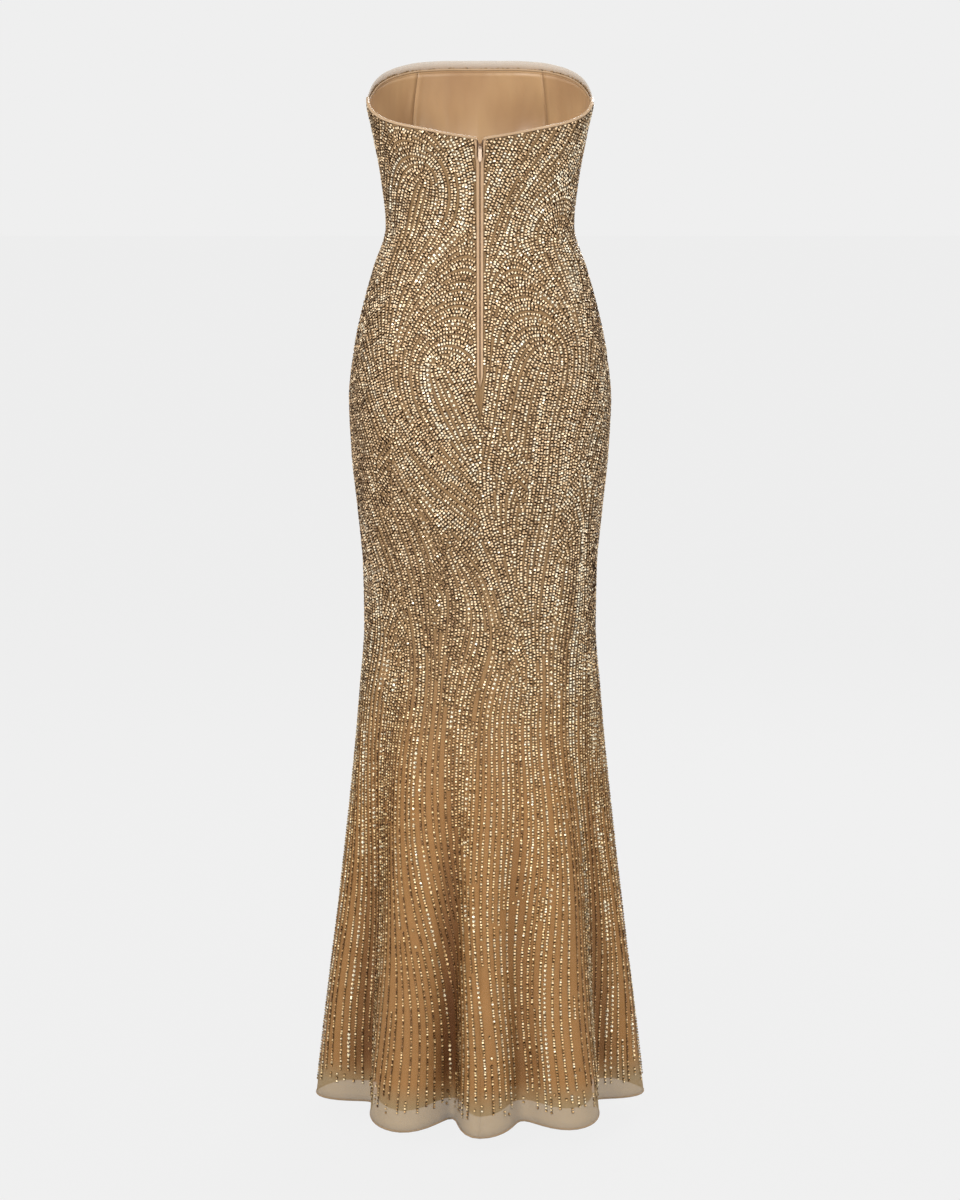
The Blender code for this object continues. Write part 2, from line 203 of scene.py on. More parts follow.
CUP_HEIGHT, CUP_BEARING, CUP_BEARING_SPREAD = 6.0, 148.0, 20.0
CUP_LEVEL, CUP_LEVEL_SPREAD = -40.0, 42.0
BEAD_SHELL_DEPTH = 2.4
LAYER_GAP = 1.0
SKIRT_LAYER_GAP = 6.0
LINING_HEM_LIFT = 27.0
LINING_UNDER_ZIP = 0.8
BACK_SEAM_LEVEL = -415
SEAM_HALF_GAP = 0.04
EDGE_STRIP_HEIGHT = 3.4
SHEER_EDGE_HEIGHT = 9.2
ZIP_COLUMNS = ("level", "fold", "beads")
ZIP_EDGES = (
    (0, 4.2, 7.9), (-10, 2.7, 6.4), (-18, 2.95, 6.4), (-26, 2.8, 6.4), (-32, 1.5, 5.6),
    (-38, 0.3, 4.9), (-346, 0.3, 4.1), (-360, 0.15, 0.85), (-420, 0.15, 0.15),
    (HEM_HEIGHT, 0.15, 0.15),
)
PRINCESS_BEARING = 90 + 90 * 11 / 19
SATIN_THICKNESS = 0.5 * MM
DEGREES_A_COLUMN = 2.25
CUT_LEVELS = np.concatenate([(0, -10, -18, -26, -32, -38, -45, -52),
                             np.linspace(-60, -760, 64)[:-1], np.linspace(-760, HEM_HEIGHT, 50)])


def smooth(known, values, at):
    """A smooth curve through a table's points, with no overshoot between them."""
    if known[0] > known[-1]:
        known, values = known[::-1], values[::-1]
    run = np.diff(known)
    slope = np.diff(values) / run
    lean = np.zeros(len(known))
    lean[0], lean[-1] = slope[0], slope[-1]
    product = slope[:-1] * slope[1:]
    total = np.where(product > 0, slope[:-1] + slope[1:], 1.0)
    lean[1:-1] = np.where(product > 0, 2 * product / total, 0.0)
    at = np.clip(at, known[0], known[-1])
    i = np.clip(np.searchsorted(known, at, side="right") - 1, 0, len(run) - 1)
    t = (at - known[i]) / run[i]
    a, b = values[i], values[i + 1]
    la, lb = lean[i] * run[i], lean[i + 1] * run[i]
    return a + t * (la + t * (3 * (b - a) - 2 * la - lb + t * (la + lb - 2 * (b - a))))


def column(table, columns, name):
    return np.array([row[columns.index(name)] for row in table], float)


def ease(t):
    t = np.clip(t, 0, 1)
    return t * t * (3 - 2 * t)


def from_back(bearing):
    """A bearing as 0 at the centre back to 180 at the centre front, on either side."""
    turn = np.mod(bearing, 360.0)
    return np.minimum(turn, 360 - turn)


def top_height(bearing):
    known = column(TOP_EDGE, TOP_EDGE_COLUMNS, "bearing")
    return smooth(known, column(TOP_EDGE, TOP_EDGE_COLUMNS, "height"), from_back(bearing))


def fold_phase(bearing):
    """0 at a crest of the hem, pi at the valley after it, and on."""
    crests = column(FOLDS, FOLD_COLUMNS, "crest")
    valleys = column(FOLDS, FOLD_COLUMNS, "valley")
    stops = np.ravel(np.column_stack([crests, valleys]))
    stops = np.concatenate([stops[-2:] - 360, stops, stops[:3] + 360])
    return smooth(stops, pi * (np.arange(len(stops)) - 2.0), bearing)


def fold_wave(bearing):
    """The folds' phase, how far the cloth sways round there, and how deep the valley is pushed."""
    turn = np.mod(bearing, 360.0)
    phase = fold_phase(turn)
    pace = (fold_phase(turn + 0.5) - fold_phase(turn - 0.5)) / radians(1)
    push = column(FOLDS, FOLD_COLUMNS, "push")
    here = np.floor(phase / (2 * pi)).astype(int) % len(FOLDS)
    return phase, FOLD_SWAY * np.sin(phase) / pace, push[here]


def fold_strength(height):
    share = (FOLD_START_HEIGHT - height) / (FOLD_START_HEIGHT - HEM_HEIGHT)
    return np.clip(share, 0, 1.05) ** FOLD_GROWTH


def near_top_edge(level, reach):
    return ease(1 + level / reach)


def near_hem_edge(level):
    return ease((HEM_HEIGHT + HEM_REACH - level) / HEM_REACH)


def level_height(level, bearing):
    """Height of a level line of the cut, which follows the top edge above and the hem below."""
    phase = fold_wave(bearing)[0]
    at_hem = FOLD_HEM_LIFT * (1 - np.cos(phase)) / 2
    at_hem = at_hem - HEM_BACK_DIP * (1 + np.cos(np.radians(bearing))) / 2
    top = top_height(bearing) * near_top_edge(level, TOP_EDGE_REACH)
    return level + top + at_hem * near_hem_edge(level)


def form(bearing, height):
    """The outermost face of the gown, at the tops of the beads."""
    heights = column(SECTIONS, SECTION_COLUMNS, "height")
    width, back, front, square = (
        smooth(heights, column(SECTIONS, SECTION_COLUMNS, name), height)
        for name in SECTION_COLUMNS[1:]
    )
    strength = fold_strength(height)
    phase, sway, push = fold_wave(bearing)
    turn = np.radians(bearing) + strength * sway
    across, out = np.sin(turn), -np.cos(turn)
    depth = back + (front - back) * ease((out + SIDE_BLEND) / (2 * SIDE_BLEND))
    radius = (np.abs(across / width) ** square + np.abs(out / depth) ** square) ** (-1 / square)
    radius = radius - push * strength * (1 - np.cos(phase)) / 2
    cup = np.exp(-(((from_back(bearing) - CUP_BEARING) / CUP_BEARING_SPREAD) ** 2))
    radius = radius + CUP_HEIGHT * cup * np.exp(-(((height - CUP_LEVEL) / CUP_LEVEL_SPREAD) ** 2))
    return np.stack([across * radius, out * radius, height + 0 * radius], axis=-1)


def outward(bearing, height):
    round_it = form(bearing + 0.05, height) - form(bearing - 0.05, height)
    down_it = form(bearing, height - 0.5) - form(bearing, height + 0.5)
    normal = np.cross(down_it, round_it)
    return normal / np.linalg.norm(normal, axis=-1, keepdims=True)


def cloth_point(bearing, height, depth):
    """A point that deep inside the gown's outermost face."""
    return (form(bearing, height) - outward(bearing, height) * np.asarray(depth)[..., None]) * MM


def bearing_of(offset, height, base):
    """The bearing that lies offset round the cloth from a base bearing."""
    ahead = form(base + 0.05, height) - form(base - 0.05, height)
    return base + offset * 0.1 / np.linalg.norm(ahead, axis=-1)


def zip_edge(level, name):
    known = column(ZIP_EDGES, ZIP_COLUMNS, "level")
    return np.interp(-level, -known, column(ZIP_EDGES, ZIP_COLUMNS, name))


def edge_drop(layer, bearing):
    """How far below the top edge a layer's own top lies."""
    turn = from_back(bearing)
    if layer == "tulle":
        return np.where(turn > 90, 0.0, EDGE_STRIP_HEIGHT + 2 * SEAM_HALF_GAP)
    front = SHEER_EDGE_HEIGHT * ease((turn - 84) / 24)
    return np.where(turn > 90, front, 0) + EDGE_STRIP_HEIGHT + 2 * SEAM_HALF_GAP


def layer_depth(layer, height):
    if layer == "tulle":
        return TULLE_DEPTH + 0 * height
    return BEAD_SHELL_DEPTH + LAYER_GAP + SKIRT_LAYER_GAP * fold_strength(height)


def cloth_piece(name, places, thickness, finish):
    """A sheet of cloth from a grid of places, with its own lengths round and down as its UV map."""
    rows, columns = places.shape[:2]
    index = np.arange(rows * columns).reshape(rows, columns)
    corners = [index[:-1, :-1], index[1:, :-1], index[1:, 1:], index[:-1, 1:]]
    quads = np.stack(corners, axis=-1).reshape(-1, 4)
    mesh = bpy.data.meshes.new(name)
    mesh.from_pydata(places.reshape(-1, 3).tolist(), [], quads.tolist())
    steps = np.linalg.norm(np.diff(places, axis=1), axis=-1)
    along = np.concatenate([np.zeros((rows, 1)), np.cumsum(steps, axis=1)], axis=1)
    along = along - along[:, columns // 2][:, None]
    lengths = np.stack([along, places[..., 2]], axis=-1).reshape(-1, 2)
    cut = mesh.uv_layers.new(name="cut")
    cut.data.foreach_set("uv", lengths[quads.ravel()].ravel())
    mesh.shade_smooth()
    mesh.materials.append(finish)
    piece = placed(name, mesh)
    wall = piece.modifiers.new("thickness", "SOLIDIFY")
    wall.thickness = thickness
    wall.offset = -1
    wall.use_quality_normals = True
    return piece


def just_inside(start, end, share):
    """Bearings across a panel that stop just short of its seams, where the next panel begins."""
    return start + (end - start) * np.clip(share, 0.001, 0.999)


def between_seams(start, end, share, height, at_zip, depth):
    """Places across a panel from one seam to the next. 0 and 360 are the two sides of the zip."""
    first = bearing_of(at_zip if start == 0 else SEAM_HALF_GAP, height, start)
    last = bearing_of(-at_zip if end == 360 else -SEAM_HALF_GAP, height, end)
    return cloth_point(first + (last - first) * share, height, depth)


def panel_places(layer, start, end):
    """The places of a panel of the lining or the tulle between two bearings."""
    columns = round((end - start) / DEGREES_A_COLUMN)
    level, share = np.meshgrid(CUT_LEVELS, np.linspace(0, 1, columns + 1), indexing="ij")
    middle = start + (end - start) * share
    height = level_height(level, middle)
    drop = edge_drop(layer, just_inside(start, end, share))
    height = height - drop * near_top_edge(level, EDGE_DROP_REACH)
    if layer == "lining":
        height = height + LINING_HEM_LIFT * near_hem_edge(level)
    at_zip = zip_edge(level, "beads") + (SEAM_HALF_GAP if layer == "tulle" else -LINING_UNDER_ZIP)
    at_zip = np.where(level < BACK_SEAM_LEVEL, SEAM_HALF_GAP, np.maximum(at_zip, SEAM_HALF_GAP))
    return between_seams(start, end, share, height, at_zip, layer_depth(layer, height))


def fold_shade_share(bearing, height):
    """How much painted shade a place gets in a fold of the skirt, from 0 to about 1, by how deep in
    the fold it lies.
    """
    phase, _, push = fold_wave(bearing)
    valley = np.clip(0.1 - np.cos(phase), 0, 1) ** 1.3
    depth = 1.2 * fold_strength(height) ** 0.7 * (push / DEEP_PUSH) ** 3 * valley
    return np.clip(depth, 0, 1) * ease((height - HEM_HEIGHT - 20) / 50)


def paint_fold_shade(piece):
    """Notes on a cloth how much painted shade each place gets, deepest in the valleys of the
    skirt's folds.
    """
    mesh = piece.data
    points = np.empty(len(mesh.vertices) * 3)
    mesh.vertices.foreach_get("co", points)
    x, y, z = (points.reshape(-1, 3) / MM).T
    bearing = np.degrees(np.arctan2(x, -y))
    painted_shade = mesh.attributes.new("painted_fold_shade", "FLOAT", "POINT")
    painted_shade.data.foreach_set("value", fold_shade_share(bearing, z))
    return bearing, z


def new_finish(name):
    """A material, a way to add nodes to it, and a way to set its shader's inputs."""
    made = bpy.data.materials.new(name)
    made.use_nodes = True
    shader = made.node_tree.nodes["Principled BSDF"]
    return made, node_adder(made.node_tree), lambda inputs: set_inputs(shader, inputs)


def blend_of(add, share, low, high):
    """A colour between two, by a share from 0 to 1."""
    low, high = ((*end, 1) if isinstance(end, tuple) else end for end in (low, high))
    return add("Mix", {0: share, 6: low, 7: high}, data_type="RGBA").outputs[2]


def ranged(add, value, start, end, low=0.0, high=1.0):
    """A value that goes from low to high while another goes from start to end."""
    return add("MapRange", {"Value": value, "From Min": start, "From Max": end, "To Min": low,
                            "To Max": high}).outputs[0]


def noted(add, name):
    """A number that is noted on the mesh."""
    return add("Attribute", attribute_name=name).outputs["Fac"]


def satin_finish(name, low, high):
    """Satin: a soft gloss, a fine thread across, and slow shifts of tone, partly its own and partly
    painted shade in the hollows of its soft creases.
    """
    made, add, shade = new_finish(name)
    cut = add("UVMap", uv_map="cut").outputs[0]
    stretch = add("Mapping", {"Vector": cut, "Scale": (9.0, 3.0, 1.0)})
    cloud = add("TexNoise", {"Vector": stretch.outputs[0], "Scale": 1.6, "Detail": 3.0})
    threads = add("TexWave", {"Vector": cut, "Scale": 420.0, "Distortion": 1.2},
                  bands_direction="Y")
    # The noise that makes the soft creases also darkens the colour in their hollows: partly painted
    # shade.
    tan = blend_of(add, ranged(add, cloud.outputs["Fac"], 0.3, 0.7), low, high)
    soft = add("Bump", {"Height": cloud.outputs["Fac"], "Strength": 0.6, "Distance": 0.012})
    fine = add("Bump", {"Height": threads.outputs["Fac"], "Strength": 0.12, "Distance": 0.0001,
                        "Normal": soft.outputs[0]})
    # Deep in the skirt's folds the colour goes to a dark brown: painted shade.
    shade({"Base Color": blend_of(add, noted(add, "painted_fold_shade"), tan, (0.13, 0.05, 0.015)),
           "Normal": fine.outputs[0], "Roughness": 0.42, "Specular IOR Level": 0.45,
           "Sheen Weight": 0.1, "Sheen Roughness": 0.4})
    return made


TULLE_DEPTH = 2.05
satin = satin_finish("tan_satin", (0.36, 0.205, 0.10), (0.50, 0.315, 0.155))
# Each panel: its node, the bearings of its edges, its flat width and length in metres, its area.
LINING_PIECES = (
    ("lining_front_centre", PRINCESS_BEARING, 360 - PRINCESS_BEARING, (0.33, 1.34), 0.240),
    ("lining_front_right", 90, PRINCESS_BEARING, (0.24, 1.33), 0.195),
    ("lining_front_left", 360 - PRINCESS_BEARING, 270, (0.24, 1.33), 0.195),
    ("lining_back_right", 0, 90, (0.39, 1.30), 0.300),
    ("lining_back_left", 270, 360, (0.39, 1.30), 0.300),
)
sheets = {}
for node, start, end, flat, area in LINING_PIECES:
    places = panel_places("lining", start, end)
    piece = cloth_piece(node + "_satin", places, SATIN_THICKNESS, satin)
    paint_fold_shade(piece)
    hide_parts(node)
    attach(piece, "gown")
    sheets[node] = (piece, flat, area)


# The tulle shell: a sheer tan net in three pieces, which carries the beads and hangs a little below
# the lining. Above the front lining it stands alone, as a clear band along the neckline.
TULLE_THICKNESS = 0.25 * MM
NET_CELL = 1.1 * MM
CLEAR_BAND, CLEAR_BAND_FADE = 9.7, 2.0


def tulle_finish():
    """Fine net: see-through between its threads, paler on the clear band at the neckline, and
    painted darker deep in the skirt's folds as painted shade.
    """
    made, add, shade = new_finish("tan_tulle")
    cut = add("UVMap", uv_map="cut").outputs[0]
    net = add("TexVoronoi", {"Vector": cut, "Scale": 1 / NET_CELL, "Randomness": 0.3},
              voronoi_dimensions="2D", feature="DISTANCE_TO_EDGE")
    clear = noted(add, "clear_band")
    body = ranged(add, net.outputs["Distance"], 0.05, 0.3, 0.76, 0.46)
    band = ranged(add, net.outputs["Distance"], 0.05, 0.3, 0.58, 0.34)
    alpha = add("Mix", {0: clear, 2: body, 3: band})
    cloud = add("TexNoise", {"Vector": cut, "Scale": 9.0, "Detail": 3.0}).outputs["Fac"]
    height = add("SeparateXYZ", {0: add("TexCoord").outputs["Object"]}).outputs["Z"]
    upper = blend_of(add, cloud, (0.28, 0.165, 0.072), (0.40, 0.25, 0.12))
    lower = blend_of(add, cloud, (0.315, 0.149, 0.046), (0.45, 0.235, 0.085))
    tan = blend_of(add, ranged(add, height, -0.65, -0.9), upper, lower)
    tan = blend_of(add, ranged(add, height, -1.26, -1.29), tan, (0.36, 0.25, 0.125))
    # Deep in the skirt's folds the net's colour goes to a dark brown: painted shade.
    tan = blend_of(add, noted(add, "painted_fold_shade"), tan, (0.15, 0.057, 0.017))
    shade({"Base Color": blend_of(add, clear, tan, (0.64, 0.54, 0.43)), "Alpha": alpha.outputs[0],
           "Roughness": 0.6, "Specular IOR Level": 0.2})
    return made


def mark_clear_band(piece, bearing, height):
    """Notes on the net its clear band, above the front lining."""
    share = np.clip((height - top_height(bearing) + CLEAR_BAND) / CLEAR_BAND_FADE, 0, 1)
    share = share * np.clip((from_back(bearing) - 88) / 8, 0, 1)
    clear = piece.data.attributes.new("clear_band", "FLOAT", "POINT")
    clear.data.foreach_set("value", share)


tulle = tulle_finish()
TULLE_PIECES = (
    ("shell_front", 90, 270, (0.84, 1.38), 0.660),
    ("shell_back_right", 0, 90, (0.42, 1.33), 0.315),
    ("shell_back_left", 270, 360, (0.42, 1.33), 0.315),
)
for node, start, end, flat, area in TULLE_PIECES:
    piece = cloth_piece(node + "_tulle", panel_places("tulle", start, end), TULLE_THICKNESS, tulle)
    mark_clear_band(piece, *paint_fold_shade(piece))
    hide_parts(node)
    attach(piece, "gown")
    sheets[node] = (piece, flat, area)


# The edges: a narrow folded strip of the lining cloth binds the back of the neckline and covers the
# raw top of the net, and another, rolled inwards, finishes the front lining.
STRIP_ROWS = 6
ROLL_HEIGHT = 2.4
ROLL_SQUARENESS = 0.8
CORNER_DROP = 2.1
CORNER_COLUMNS = (0.06, 0.15, 0.28, 0.43, 0.6)
BINDING_DEPTH = BEAD_SHELL_DEPTH + LAYER_GAP + 0.9


def strip_places(start, end, drop, height_of, near, far, zip_side):
    """A closed roll of cloth along the top edge, a flat oval from near to far deep. At the zip its
    upper corner is rounded."""
    columns = round((end - start) / DEGREES_A_COLUMN)
    turns = np.linspace(0, 2 * pi, 4 * STRIP_ROWS + 1)[:-1]
    shares, corner = np.linspace(0, 1, columns + 1), np.zeros(columns + 1)
    if zip_side:
        shares = np.insert(shares, 1, np.array(CORNER_COLUMNS) / columns)
        to_corner = np.clip(1 - shares * columns / CORNER_COLUMNS[-1], 0, 1)
        corner = CORNER_DROP * (1 - np.sqrt(1 - to_corner ** 2))
        if start:
            shares, corner = 1 - shares[::-1], corner[::-1]
    turn, share = np.meshgrid(turns, shares, indexing="ij")
    middle = start + (end - start) * share
    top = level_height(0 * middle, middle) - drop(just_inside(start, end, share)) - corner
    lift = np.sign(np.sin(turn)) * np.abs(np.sin(turn)) ** ROLL_SQUARENESS
    dip = np.sign(np.cos(turn)) * np.abs(np.cos(turn)) ** ROLL_SQUARENESS
    height = top - (height_of - corner) * (1 - lift) / 2
    depth = (near + far) / 2 + (far - near) / 2 * dip
    return between_seams(start, end, share, height, zip_side, depth)


def rolled_strip(name, places, finish):
    """A tube of cloth from rings of places, closed at both ends."""
    ring, columns = places.shape[:2]
    mesh = bpy.data.meshes.new(name)
    roll = bmesh.new()
    verts = [[roll.verts.new(places[i, j]) for j in range(columns)] for i in range(ring)]
    for i in range(ring):
        for j in range(columns - 1):
            k = (i + 1) % ring
            roll.faces.new((verts[i][j], verts[k][j], verts[k][j + 1], verts[i][j + 1]))
    for j in (0, columns - 1):
        roll.faces.new([verts[i][j] for i in range(ring)])
    bmesh.ops.recalc_face_normals(roll, faces=roll.faces)
    layer = roll.loops.layers.uv.new("cut")
    for face in roll.faces:
        for loop in face.loops:
            loop[layer].uv = (loop.vert.co.x + loop.vert.co.y, loop.vert.co.z)
    roll.to_mesh(mesh)
    roll.free()
    mesh.shade_smooth()
    mesh.set_sharp_from_angle(angle=radians(60))
    mesh.materials.append(finish)
    return placed(name, mesh)


edge_satin = satin_finish("edge_satin", (0.38, 0.25, 0.14), (0.49, 0.335, 0.20))
def no_drop(bearing):
    return 0 * bearing


def roll_drop(bearing):
    """The roll's own top lies a little above the top of the front lining."""
    return edge_drop("lining", bearing) - ROLL_HEIGHT - 0.3


# Each strip: its node, its bearings, how far it drops, its height, how near and how deep it lies,
# and how far from the zip's middle it ends.
STRIPS = (
    ("top_binding_back_right", 0, 90, no_drop, EDGE_STRIP_HEIGHT, 0.0, BINDING_DEPTH,
     float(zip_edge(0, "fold"))),
    ("top_binding_back_left", 270, 360, no_drop, EDGE_STRIP_HEIGHT, 0.0, BINDING_DEPTH,
     float(zip_edge(0, "fold"))),
    ("top_binding_front", 90, 270, roll_drop, ROLL_HEIGHT, BEAD_SHELL_DEPTH + LAYER_GAP - 0.2,
     BEAD_SHELL_DEPTH + LAYER_GAP + 1.3, 0),
)
for node, *cut in STRIPS:
    piece = rolled_strip(node + "_satin", strip_places(*cut), edge_satin)
    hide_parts(node)
    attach(piece, "gown")


# The zip: two plain folded strips that meet over the coil teeth and bow apart round the slider,
# where the tape behind shows, painted a very dark brown as painted shade. The slider and its
# teardrop pull are lacquered cast zinc; the slider's dark brown is painted shade.
ZIP_END_LEVEL = -360
TAPE_LEVELS = np.concatenate([np.linspace(0, -38, 20)[:-1], np.linspace(-38, -346, 82)[:-1],
                              np.linspace(-346, ZIP_END_LEVEL, 6)])
TAPE_DEPTH, TAPE_THICKNESS = 0.6, 0.9 * MM
TAPE_FOLD_SINK, TAPE_EDGE_SINK = 1.1, 0.5
TAPE_COLUMNS = 8
BELOW_BINDING = EDGE_STRIP_HEIGHT + 0.3
BACKING_LEVELS = TAPE_LEVELS[:-8]
BACKING_DEPTH, BACKING_THICKNESS = 2.66, 0.4 * MM
BACKING_COLUMNS = 3
BACKING_UNDER_COIL, BACKING_UNDER_FOLD, BACKING_WIDTH = 0.6, 1.4, 1.8
COIL_DEPTH = 2.6
COIL_LEVELS, COIL_OFFSETS = (-13, -9, 0), (0.65, 1.1, 3.6)
WIRE_REACH = 0.5 * MM


def tape_finish():
    made, add, shade = new_finish("zip_tape_cloth")
    cut = add("UVMap", uv_map="cut").outputs[0]
    ribs = add("TexWave", {"Vector": cut, "Scale": 260.0, "Distortion": 0.6}, bands_direction="Y")
    cloud = add("TexNoise", {"Vector": cut, "Scale": 45.0, "Detail": 2.0}).outputs["Fac"]
    bump = add("Bump", {"Height": ribs.outputs["Fac"], "Strength": 0.25, "Distance": 0.0002})
    shade({"Base Color": blend_of(add, cloud, (0.38, 0.235, 0.128), (0.50, 0.33, 0.187)),
           "Normal": bump.outputs[0], "Roughness": 0.55})
    return made


def zip_height(level):
    """Height of a level of the zip, which starts just below the bound edge."""
    return level_height(level, 0 * level) - BELOW_BINDING * near_top_edge(level, EDGE_DROP_REACH)


def zip_grid(levels, columns, side):
    """The levels, the heights and the shares outwards of a strip on one side of the zip."""
    level, share = np.meshgrid(levels, np.linspace(0, 1, columns + 1), indexing="ij")
    return level, zip_height(level), share if side > 0 else 1 - share


def coil_offset(level):
    """How far from the zip's middle its teeth lie: closed up to the slider, and apart above it."""
    return np.interp(level, COIL_LEVELS, COIL_OFFSETS)


tape_cloth = tape_finish()
for node, side in (("zip_tape_right", 1), ("zip_tape_left", -1)):
    level, height, share = zip_grid(TAPE_LEVELS, TAPE_COLUMNS, side)
    fold = zip_edge(level, "fold") + 0.3 * (level > -350)
    beads = zip_edge(level, "beads") - SEAM_HALF_GAP
    bearing = bearing_of(side * (fold + (beads - fold) * share), height, 0 * level)
    sink = TAPE_DEPTH + TAPE_FOLD_SINK * (1 - share) ** 4 + TAPE_EDGE_SINK * share ** 6
    places = cloth_point(bearing, height, sink)
    piece = cloth_piece(node + "_cloth", places, TAPE_THICKNESS, tape_cloth)
    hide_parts(node)
    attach(piece, "gown")

# The tape behind the zip is a very dark brown: painted shade of the zip's hollow.
dark_tape_painted_shade = satin_finish("dark_tape_painted_shade", (0.085, 0.045, 0.024), (0.13, 0.072, 0.038))
for name, side in (("zip_backing_right", 1), ("zip_backing_left", -1)):
    level, height, share = zip_grid(BACKING_LEVELS, BACKING_COLUMNS, side)
    inner = coil_offset(level) - BACKING_UNDER_COIL
    outer = np.maximum(zip_edge(level, "fold") + BACKING_UNDER_FOLD, inner + BACKING_WIDTH)
    bearing = bearing_of(side * (inner + (outer - inner) * share), height, 0 * level)
    places = cloth_point(bearing, height, BACKING_DEPTH + 0 * level)
    piece = cloth_piece(name, places, BACKING_THICKNESS, dark_tape_painted_shade)
    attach(piece, "gown")


def metal_finish(name, dark, light):
    """Lacquer over cast zinc, worn a little brighter in places."""
    made, add, shade = new_finish(name)
    place = add("TexCoord").outputs["Object"]
    cloud = add("TexNoise", {"Vector": place, "Scale": 900.0, "Detail": 3.0}).outputs["Fac"]
    shade({"Base Color": blend_of(add, cloud, dark, light),
           "Roughness": ranged(add, cloud, 0.0, 1.0, 0.24, 0.42), "Metallic": 0.4})
    return made


pale_gold = metal_finish("pale_gold_lacquer", (0.74, 0.53, 0.38), (0.90, 0.71, 0.54))
# The slider's dark brown lacquer is painted shade.
slider_painted_shade_metal = metal_finish("brown_lacquer_painted_shade", (0.16, 0.095, 0.055), (0.26, 0.16, 0.095))


def softened_casting(node, name, softness, finish, slim=1.0):
    """A copy of a solid with its edges rounded off, as a casting's are, and its block slimmer."""
    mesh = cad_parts[node].data.copy()
    mesh.name = name
    cast = bmesh.new()
    cast.from_mesh(mesh)
    bmesh.ops.remove_doubles(cast, verts=cast.verts, dist=1e-6)
    bmesh.ops.dissolve_limit(cast, angle_limit=radians(2), verts=cast.verts, edges=cast.edges)
    heights = [vert.co.z for vert in cast.verts]
    middle = (min(heights) + max(heights)) / 2
    for vert in cast.verts:
        if abs(vert.co.x) > WIRE_REACH:
            vert.co.x *= slim
            vert.co.z = middle + (vert.co.z - middle) * slim
    cast.to_mesh(mesh)
    cast.free()
    mesh.materials.clear()
    mesh.materials.append(finish)
    piece = placed(name, mesh)
    rounded = piece.modifiers.new("softness", "BEVEL")
    rounded.width = softness
    rounded.segments = 2
    rounded.limit_method = "ANGLE"
    rounded.angle_limit = radians(35)
    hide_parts(node)
    return piece


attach(softened_casting("zip_slider", "zip_slider_cast", 0.25 * MM, slider_painted_shade_metal, 0.8), "gown")
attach(softened_casting("zip_pull", "zip_pull_cast", 0.22 * MM, pale_gold), "zip_pull")


# The sewn rows: one small blank is set again and again along rows of lines, its foot on the cloth
# and its length along the row. The zip's coil teeth, the stitches and all the beadwork are made so.
def marked_blank(name, corners, faces, painted_light_marks):
    """A small block to sew on, each face with a mark of how bright it is painted: painted light and
    shade.
    """
    mesh = bpy.data.meshes.new(name)
    mesh.from_pydata(corners, [], faces)
    mesh.attributes.new("table", "FLOAT", "FACE").data.foreach_set("value", painted_light_marks)
    return placed(name, mesh)


def plain_block(name, size, along=1.0, across=1.0, flank_painted_light=0.0):
    """A block with a smaller table than its foot. Its table and its flanks are painted brighter,
    and its ends dark: painted light and shade.
    """
    corners = [(-0.5, -0.5), (0.5, -0.5), (0.5, 0.5), (-0.5, 0.5)]
    foot = [(x * size[0], y * size[1], 0) for x, y in corners]
    table = [(x * size[0] * along, y * size[1] * across, size[2]) for x, y in corners]
    sides = [(k, (k + 1) % 4, 4 + (k + 1) % 4, 4 + k) for k in range(4)]
    return marked_blank(name, foot + table, [(3, 2, 1, 0), (4, 5, 6, 7), *sides],
                        [0, 1, flank_painted_light, 0, flank_painted_light, 0])


TONE_CHANCE = 0.7


